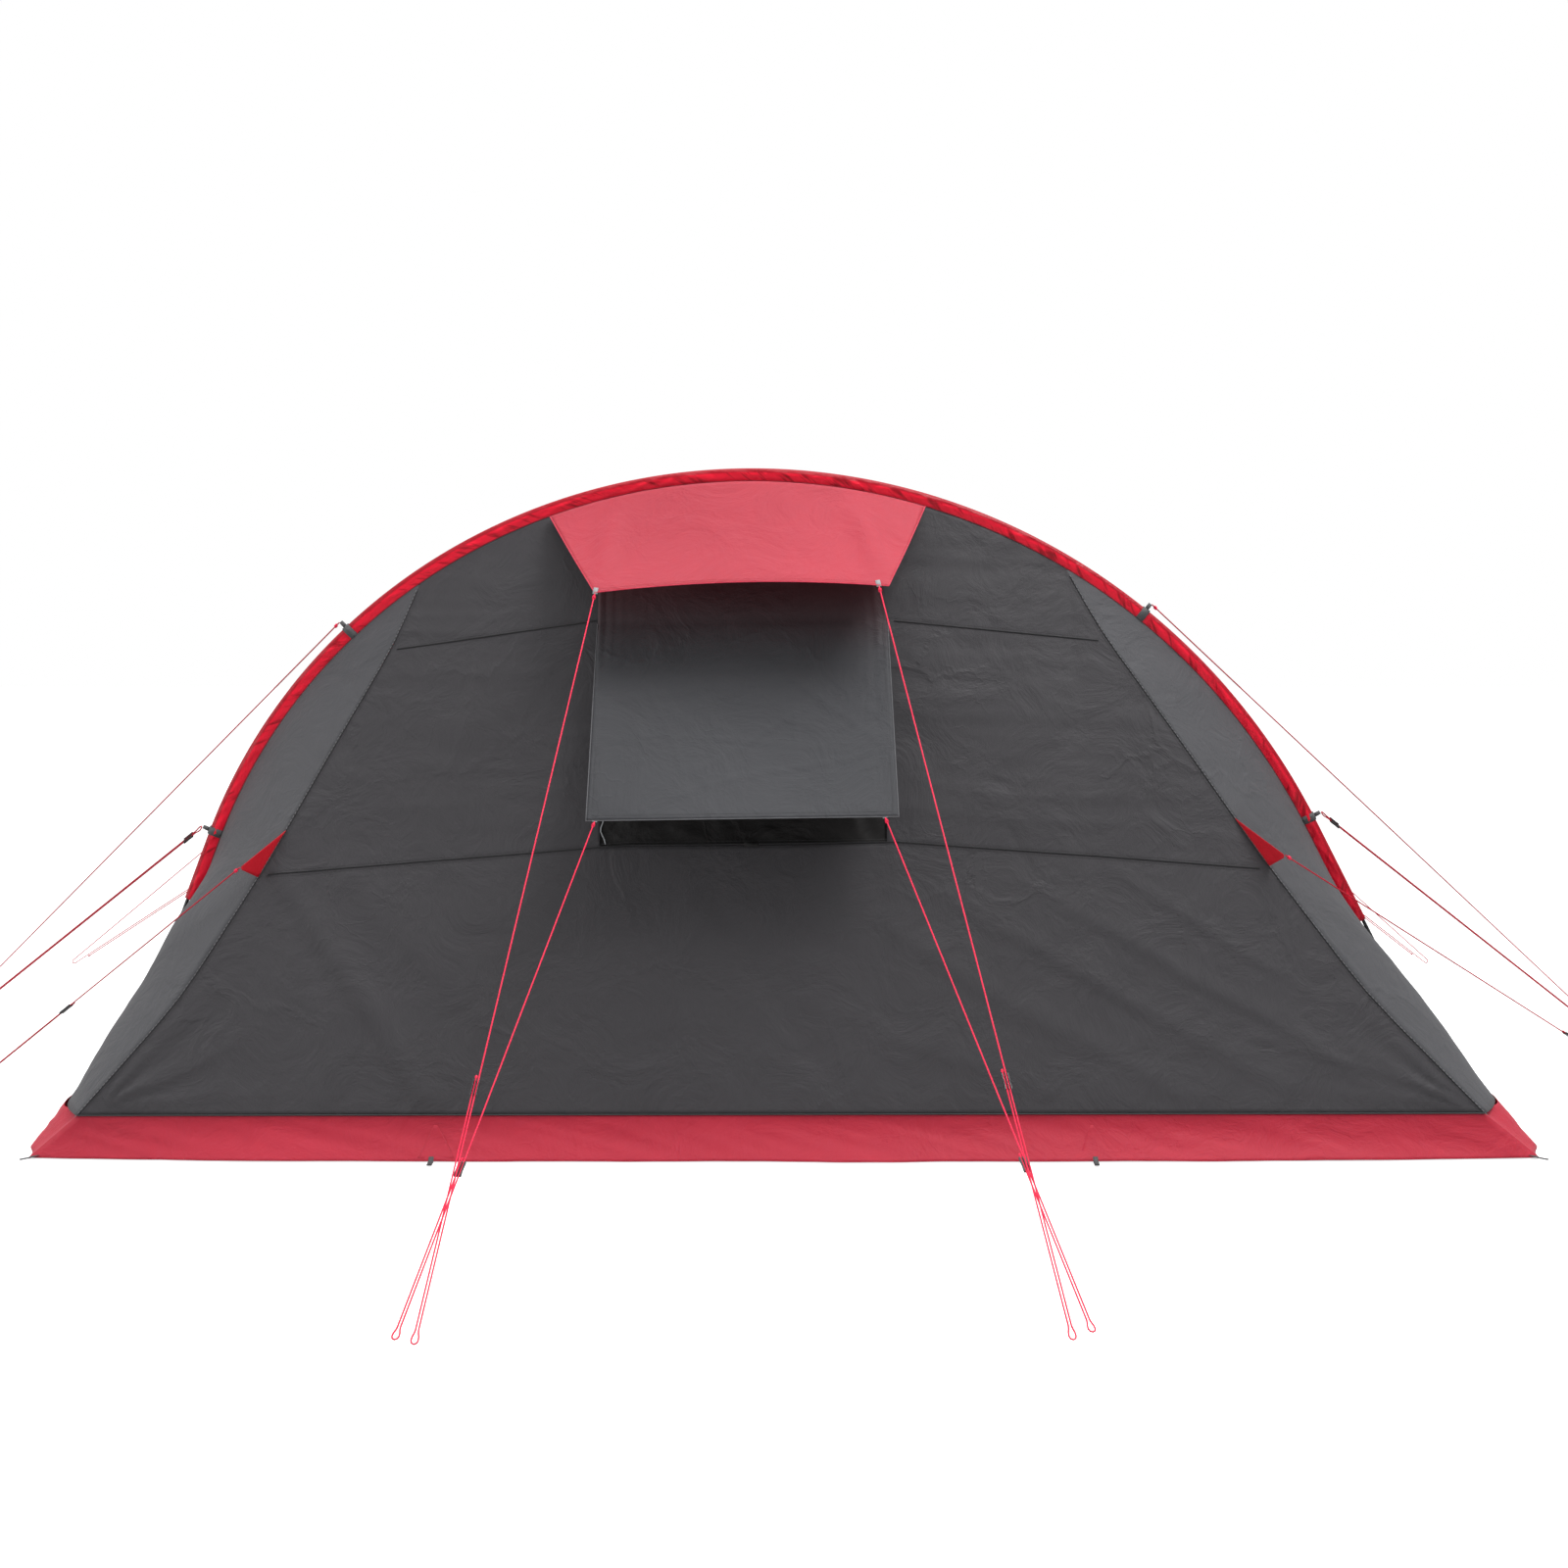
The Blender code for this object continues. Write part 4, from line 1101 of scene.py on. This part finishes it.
# %% Poles and ferrules
FOOT_TOP, FERRULE_L = 0.014, 0.03
for place, plane in PLANES.items():
    tip = run_at(FOOT_TOP, POLE_IN)
    rod = [settle(at_arch(s, POLE_IN, plane)) for s in spread(-tip, tip, 160)]
    along(place + "_pole_rod", SWEEP, [rod], slot="pole_black", stands_for=[place + "_pole"],
          Radius=POLE_R, Finish=pole_paint)
    rings = [[settle(at_arch(s + d, POLE_IN, plane)) for d in (0, FERRULE_L)]
             for s in spread(-tip + 0.45, tip - 0.45, 8)]
    along(place + "_pole_ferrules", SWEEP, rings, slot="pole_black", Radius=POLE_R + 0.0006,
          Finish=ferrule_steel)


# %% [markdown]
# ## Seams and stitching
# Where two panels meet, the cloth is folded under and sewn twice. At the corner seams the fold
# makes a thin grey ridge; along each level seam a thin near-black tube is painted shadow, the
# shade under the fold. Beside each runs a line of stitches 5 mm apart. All follow lines worked
# out on the wall, so the same rule that placed the panels places them.

# %% Lines along the seams
def on_wall(x, z, out=0.0, sign=-1):
    return settle((x, sign * (wall_y(x, z) + out), z))


def corner_seam(side, sign=-1, out=0.001, shift=0.0):
    return [on_wall(side * (seam_x(z) + shift), z, out, sign) for z in spread(HEM_Z, 1.66, 70)]


WALL_FACES = Vector((0, -0.96, 0.28))


def level_seam(rule, half, out, drop=0.0, start=-1.0, stop=1.0):
    line = []
    for x in spread(start * half, stop * half, 110):
        z = rule(x) + drop
        lift = wall_folds(Vector((x, -wall_y(x, z), z)), 0.5, 0.5)
        line.append(on_wall(x, z, out) + WALL_FACES * lift)
    return line


STITCH = {"Spacing": 0.005, "Length": 0.0034, "Radius": 0.0004}
BESIDE_FLAP = ((-1, -0.42), (0.42, 1))

# Painted shadow: the near-black tube along the level seams stands in for the shade under their
# folds.
piping = [level_seam(lower_seam, 1.478, 0.0008)]
piping += [level_seam(upper_seam, 1.075, 0.0008, start=a, stop=b) for a, b in BESIDE_FLAP]
along("rear_wall_seam_shadow", SWEEP, piping, Radius=0.0020, Finish=shadow_grey)
along("rear_corner_piping", SWEEP, [corner_seam(side) for side in (-1, 1)], Radius=0.0008,
      Finish=piping_grey)
along("rear_corner_threads", ROW, [corner_seam(side, out=0.0032, shift=0.001) for side in (-1, 1)],
      Spacing=0.013, Length=0.008, Radius=0.0011, Finish=thread_pale)
stitch_lines = [level_seam(lower_seam, 1.46, 0.0006, drop=d) for d in (0.008, -0.008)]
stitch_lines += [level_seam(upper_seam, 1.04, 0.0006, drop=0.008, start=a, stop=b)
                 for a, b in BESIDE_FLAP]
stitch_lines += [corner_seam(side, shift=-0.010) for side in (-1, 1)]
along("rear_wall_stitches", ROW, stitch_lines, **STITCH, Finish=thread_grey)
arch_line = [settle(at_arch(s, FLY_IN - 0.002, -END_Y - 0.0065)) for s in spread(-2.25, 2.25, 200)]
along("rear_sleeve_piping", SWEEP, [arch_line], slot="crimson_cloth", Radius=0.0011,
      Finish=thread_red)
along("front_corner_piping", SWEEP, [corner_seam(side, 1) for side in (-1, 1)], Radius=0.0011,
      Finish=thread_pale)
hem_line = [on_wall(x, HEM_Z + 0.001, 0.0012) for x in spread(-2.036, 2.036, 120)]
along("rear_hem_piping", SWEEP, [hem_line], Radius=0.0019, Finish=piping_grey)


# %% Hem of the hood and flap
def outline(point, left):
    """Down one side of a panel, along its lower edge and up the other side."""
    line = [point(left, v) for v in spread(0, 1, 30)]
    line += [point(u, 1) for u in spread(left, 1, 60)[1:]]
    line += [point(1, v) for v in spread(1, 0, 30)[1:]]
    return [settle(p) for p in line]


along("vent_hood_hem", SWEEP, [outline(hood_point, -1)], slot="rose_cloth", Radius=0.0016,
      Finish=cloth_finish("hood hem", (0.50, 0.028, 0.062), 0.95, glow=0.3))
raised = Vector((0, -0.0008, 0.0008))
hood_in = [settle(hood_point(u, 0.965)) + raised for u in spread(-0.97, 0.97, 60)]
along("vent_hood_stitches", ROW, [hood_in], slot="rose_cloth", **STITCH, Finish=thread_red)
along("window_flap_hem", SWEEP, [outline(flap_point, 0)], Radius=0.0015,
      Finish=cloth_finish("flap hem", (0.095, 0.096, 0.103), 0.95))
raised = Vector((0, -0.001, 0.0004))
flap_in = [[settle(flap_point(u, v)) + raised for v in spread(0.02, 0.98, 40)]
           for u in (0.018, 0.982)]
flap_in.append([settle(flap_point(u, 0.975)) + raised for u in spread(0.02, 0.98, 60)])
along("window_flap_stitches", ROW, flap_in, **STITCH, Finish=thread_grey)

# %% [markdown]
# ## Bands, tabs and loops
# Grey webbing bands wrap the sleeve where the arch lines pull, small pale tabs sit at the
# corners of the hood and the flap, and short loops under the skirt take pegs. All are ribbons:
# a flat strip that follows a line and keeps a given face outward.


# %% Ribbons
def ribbon(name, line, width, ups, finish, thick=0.0014, stands_for=()):
    """A flat strip along line; ups gives the way it faces at each point."""
    form = bmesh.new()
    uv = form.loops.layers.uv.new("cloth")
    rows = []
    run = 0.0
    for k, point in enumerate(line):
        ahead = line[min(k + 1, len(line) - 1)] - line[max(k - 1, 0)]
        side = ahead.cross(ups[k]).normalized() * width / 2
        run += (point - line[k - 1]).length if k else 0
        rows.append((form.verts.new(point - side), form.verts.new(point + side), run))
    for (a, b, s), (c, d, t) in zip(rows, rows[1:]):
        face = form.faces.new([a, b, d, c])
        face.smooth = True
        for loop, place in zip(face.loops, ((0, s), (width, s), (width, t), (0, t))):
            loop[uv].uv = place
    form.normal_update()
    form.faces.ensure_lookup_table()
    if form.faces[0].normal.dot(ups[0]) < 0:
        bmesh.ops.reverse_faces(form, faces=form.faces)
    return entered(modelled(name, form, finish), stands_for=stands_for, thick=thick, offset=0)


def band(name, run, plane, stands_for=()):
    """Webbing over the sleeve, from one face across the pole to the other."""
    wrap = [(0.043, -0.0045), (0.035, -0.0085), (0.024, -0.0125), (0.012, -0.0138)]
    wrap += [(0.004, -0.0110), (-0.0018, -0.006), (-0.0026, 0.0)]
    wrap += [(d, -y) for d, y in reversed(wrap[:-1])]
    line = [settle(at_arch(run, inset, plane + across)) for inset, across in wrap]
    middle = settle(at_arch(run, 0.03, plane))
    ups = [(point - middle).normalized() for point in line]
    return ribbon(name, line, 0.025, ups, webbing, stands_for=stands_for)


def pull_loop(name, run, plane, tip):
    """The short loop on a band that the cord is tied to."""
    root = settle(at_arch(run, -0.002, plane))
    side = Vector((0, 1, 0))
    bend = root.lerp(tip, 0.6)
    line = [root + side * 0.004, bend + side * 0.003, tip, bend - side * 0.003, root - side * 0.004]
    ups = [side, side, (tip - root).normalized(), -side, -side]
    return ribbon(name, line, 0.012, ups, webbing)


for word, side in SIDES.items():
    for height, run in BAND_RUNS.items():
        for where, plane, out in (("", -END_Y, -0.024), ("front_", END_Y, -0.014)):
            name = f"band_{where}{height}_{word}"
            band(name + "_webbing", side * run, plane, () if where else [name])
            pull_loop(name + "_loop", side * run, plane, band_point(side * run, out, plane))
print("bands and loops:", 4 * len(SIDES) * len(BAND_RUNS))


# %% Knots, tabs and tensioners
def knot(name, at, along_way, finish, size=0.0062):
    """A tied cord: a few turns wound round the line, closed into a lump."""
    side = along_way.cross(Vector((0, 0, 1))).normalized()
    up = side.cross(along_way)
    turns = []
    for k in range(37):
        a = k * 2 * math.pi / 12
        turns.append(at + along_way * (k / 36 - 0.5) * size * 1.6
                     + (side * math.cos(a) + up * math.sin(a)) * size * 0.55)
    return along(name, SWEEP, [turns], slot="guyline_cord", Radius=0.0019, Finish=finish)


for name, (route, *_) in routes.items():
    first = (route[1] - route[0]).normalized()
    knot("knot_" + name, route[0] + first * 0.016, first, cord_red)


TAB_W = 0.014
OUTWARD = Vector((0, -1, 0.3)).normalized()
for word in SIDES:
    for kind, corners in (("hood", hood_low), ("flap", flap_low)):
        away = routes[f"{kind}_{word}"][2]
        line = [corners[word] + away * s for s in (-0.022, -0.010, 0.006)]
        ribbon(f"tab_{kind}_{word}", line, TAB_W, [OUTWARD] * 3, pale_webbing, thick=0.0016)

tag = [on_wall(x, 0.884, 0.004) for x in (-0.052, -0.03, -0.008)]
ribbon("window_tag", tag, TAB_W, [OUTWARD] * 3, net_black)
curl = [on_wall(-0.470 + 0.006 * math.sin(k), 0.985 - 0.012 * k, 0.006 + 0.004 * math.sin(k * 0.8))
        for k in range(9)]
along("window_curl", SWEEP, [curl], Radius=0.0018, Finish=pale_webbing)

RUNNER_L = 0.046
RUNNER_PROFILE = (
    (-0.008, -0.0037), (0.008, -0.0037), (0.008, 0.0037), (0.0061, 0.0037), (0.0061, -0.0026),
    (0.0009, -0.0026), (0.0009, 0.0037), (-0.0009, 0.0037), (-0.0009, -0.0026),
    (-0.0061, -0.0026), (-0.0061, 0.0037), (-0.008, 0.0037),
)


def runner(name, middle, along_way, across):
    """A moulded runner, narrower at its waist, with its edges rounded."""
    up = across.cross(along_way).normalized()
    up = up if up.z > 0 else -up
    form = bmesh.new()
    loops = []
    for share in (-1, -0.8, -0.4, 0, 0.4, 0.8, 1):
        waist = 1 + 0.12 * abs(share)
        loop = []
        for a, h in RUNNER_PROFILE:
            wide = a * (waist if abs(a) > 0.0075 else 1)
            spot = middle + across * wide + up * h + along_way * share * RUNNER_L / 2
            loop.append(form.verts.new(spot))
        loops.append(loop)
    for one, two in zip(loops, loops[1:]):
        for k, n in zip(range(12), [*range(1, 12), 0]):
            form.faces.new([one[k], one[n], two[n], two[k]])
    form.faces.new(loops[0])
    form.faces.new(list(reversed(loops[-1])))
    bmesh.ops.recalc_face_normals(form, faces=form.faces)
    piece = modelled(name, form, moulding)
    soft = piece.modifiers.new("edges", "BEVEL")
    soft.width = 0.0005
    soft.segments = 2
    return piece


for name, (route, middle, away, across) in routes.items():
    body = "runner_" + name
    piece = runner("tensioner_" + name, middle, away, across)
    entered(piece, body, [body])


# %% [markdown]
# ## Corner patches and skirt patches
# Two small red triangles on the corner seams take a line each, and two more on the skirt
# strengthen it where a peg loop is sewn on.

# %% Patches
for word, side in SIDES.items():
    tip = Vector((side * 1.540, -1.801, 0.840))
    end = tip + Vector((0, 0, -0.010))
    high, low = (Vector((side * seam_x(z), -wall_y(seam_x(z), z) - 0.0025, z))
                 for z in (0.938, 0.800))
    rows = []
    for v in spread(0, 1, 10):
        a, b = high.lerp(low, v), tip.lerp(end, v)
        rows.append([a.lerp(b, u) for u in spread(0, 1, 12)])
    cloth(f"guy_patch_{word}_cloth", rows, crimson, stands_for=[f"guy_patch_{word}"])

SKIRT_PEGS = (-1.008, 0.890)
PEG_LOOP = ((-2.067, 0.016), (-2.079, 0.0045), (-2.109, 0.0042), (-2.113, 0.0062),
            (-2.081, 0.0075), (-2.068, 0.019))
CORNER_LOOP = ((2.150, -2.010, 0.010), (2.172, -2.030, 0.006), (2.194, -2.044, 0.0046))
for index, x in enumerate(SKIRT_PEGS):
    rows = []
    for v in spread(0, 1, 10):
        z = 0.092 - 0.084 * v
        t = (HEM_Z - z) / HEM_Z
        wide, out = skirt_corner(t)
        row = []
        for u in spread(-1, 1, 10):
            across = (x + (0.004 + 0.050 * v) * u + 0.01 * v) / wide
            deep = out + skirt_spill(t, across)
            lift = skirt_folds(Vector((across * wide, -deep, z)), t, (across + 1) / 2)
            row.append((across * wide, -deep - lift - 0.004, z))
        rows.append(row)
    cloth(f"skirt_patch_{index}", rows, skirt_red, lean=False)
    line = [Vector((x, y, z)) for y, z in PEG_LOOP]
    up = Vector((0, -0.3, 1)).normalized()
    ribbon(f"skirt_loop_{index}", line, TAB_W, [up, up, up, -up, -up, -up], webbing)
for word, side in SIDES.items():
    line = [Vector((side * x, y, z)) for x, y, z in CORNER_LOOP]
    ribbon("corner_loop_" + word, line, TAB_W, [Vector((0, 0, 1))] * 3, webbing)


# %% [markdown]
# ## Door wall
# The far end is a wall like the window end, with a tall doorway. The door leaf is the same
# cloth, sewn down its left side and zipped round the rest, and it swings out on that sewn edge.

# %% Door wall, leaf and zip
DOOR_Z = (0.18, 1.58)
LEAF_IN = 0.0555
DOOR_LEFT, DOOR_RIGHT = -0.4415, 0.44
wall, opening = wall_rows(1, lambda z: DOOR_LEFT, lambda z: DOOR_RIGHT, DOOR_Z,
                          (4, 60, 20, 40, 36))


def front_folds(p, i, j):
    door = rising(DOOR_RIGHT, 0.12, abs(p.x)) if p.z < 1.66 else 1.0
    fold = 0.002 * ridged(p, 1.4, 4.5, 4.2, -0.6) + 0.001 * ripple(p, 3, 9, 3.3)
    return flat_at(i, j, 0.02, 0.03) * door * fold


cloth("front_wall_cloth", wall, charcoal, front_folds, hole=opening, stands_for=["front_wall"])
leaf_rows = [[(x, wall_y(x, z, LEAF_IN), z) for x in spread(-0.4380, 0.4385, 36)]
             for z in spread(DOOR_Z[0] + 0.0015, DOOR_Z[1] - 0.0015, 60)]


def leaf_folds(p, i, j):
    return -0.0014 * math.sin(math.pi * j) * math.sin(math.pi * i) * ridged(p, 2.5, 3.5, 7.2, 0.5)


cloth("door_leaf_cloth", leaf_rows, charcoal, leaf_folds, body="door", stands_for=["door_leaf"])


def door_edge(shift, out=0.0012):
    """The zip's line: down the door's free side and along its foot."""
    right, low = DOOR_RIGHT + shift, DOOR_Z[0] - shift
    side = [on_wall(right, z, out, 1) for z in spread(DOOR_Z[1] - 0.01, low, 60)]
    return [side + [on_wall(x, low, out, 1) for x in spread(right, -0.42, 40)[1:]]]


along("door_zip_tape", SWEEP, door_edge(0.006), Radius=0.0022, Finish=piping_grey)
along("door_zip_teeth", ROW, door_edge(0.0035, 0.0025), slot="zip_metal", Spacing=0.003,
      Length=0.0012, Radius=0.0016, Finish=moulding)

# %% [markdown]
# ## Inside: cabin and groundsheet
# Behind the fly hangs a pale inner cabin with a doorway, and a dark sheet covers the ground.
# They show only when the door is open, but each is still a thin sheet, and the cabin's canopy and
# walls have their own folds.

# %% Cabin and groundsheet
CABIN_Y = (-1.20, 0.55)
CABIN_FLOOR, CABIN_DOOR = 0.006, 0.55
cabin_y = spread(CABIN_Y[0], CABIN_Y[1] - 0.001, 30)
foot = run_at(CABIN_FLOOR, CABIN_IN)


def cabin_folds(p, i, j):
    spot = Vector((p.x + p.z, 0, p.y))
    return -0.006 * ridged(spot, 2.5, 2.5, 6.0) * math.sin(math.pi * min(max(j, 0), 1))


def back_folds(p, i, j):
    return 0.004 * ripple(p, 2, 2, 5.0) * math.sin(math.pi * i) * math.sin(math.pi * j)


def doorway_folds(p, i, j):
    return -0.0015 * ripple(p, 3, 3, 8.0)


canopy = [[at_arch(s, CABIN_IN, y) for y in cabin_y] for s in spread(-foot, foot, 90)]
cloth("cabin_canopy_cloth", canopy, cabin_cloth, cabin_folds, stands_for=["cabin"])
back = []
for t in spread(0, 1, 40):
    heights = [arch(u * foot, CABIN_IN) for u in spread(-1, 1, 60)]
    back.append([(x, CABIN_Y[0] + 0.001, CABIN_FLOOR + (z - CABIN_FLOOR) * t) for x, z in heights])
cloth("cabin_back_cloth", back, cabin_cloth, back_folds)
mat = [[(x, y, 0.0055) for x in spread(-1.96, 1.96, 20)]
       for y in spread(CABIN_Y[0] + 0.004, CABIN_Y[1] - 0.004, 20)]
cloth("cabin_floor_cloth", mat, cabin_cloth,
      lean=False)
front = []
front_y = CABIN_Y[1] + 0.0035
for z in spread(0.10, 1.50, 40):
    wide = half_width(z, CABIN_IN)
    xs = spread(-wide, -CABIN_DOOR, 14)[:-1] + spread(-CABIN_DOOR, CABIN_DOOR, 20)
    xs += spread(CABIN_DOOR, wide, 14)[1:]
    front.append([(x, front_y, z) for x in xs])
last = front[-1]
round_top = math.asin(last[-1][0] / (ARCH_R - CABIN_IN)) * ARCH_R
top = [arch(round_top * s, CABIN_IN) for s in spread(-1, 1, len(last) - 1)]
for t in spread(0, 1, 10)[1:]:
    front.append([(x0 + (x1 - x0) * t, front_y, z0 + (z1 - z0) * t)
                  for (x0, _, z0), (x1, z1) in zip(last, top)])
cloth("cabin_front_cloth", front, cabin_cloth, doorway_folds, hole=(0, 40, 14, 34),
      stands_for=["cabin_front"])
sheet_rows = [[(x, y, 0.003) for x in spread(-1.98, 1.98, 60)] for y in spread(-1.92, 1.92, 60)]
cloth("groundsheet_cloth", sheet_rows, ground_cloth, thick=0.003, stands_for=["groundsheet"],
      lean=False)

# %% [markdown]
# ## CAD pieces that stay
# The pole feet and the zip puller are right as they are, so they keep their shape and only get
# a better finish.

# %% Finishes on the CAD pieces
kept = [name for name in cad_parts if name.startswith("pole_foot")] + ["door_zip_puller"]
for name in kept:
    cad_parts[name].data.materials.clear()
    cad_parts[name].data.materials.append(moulding)
print("kept from the CAD:", kept)
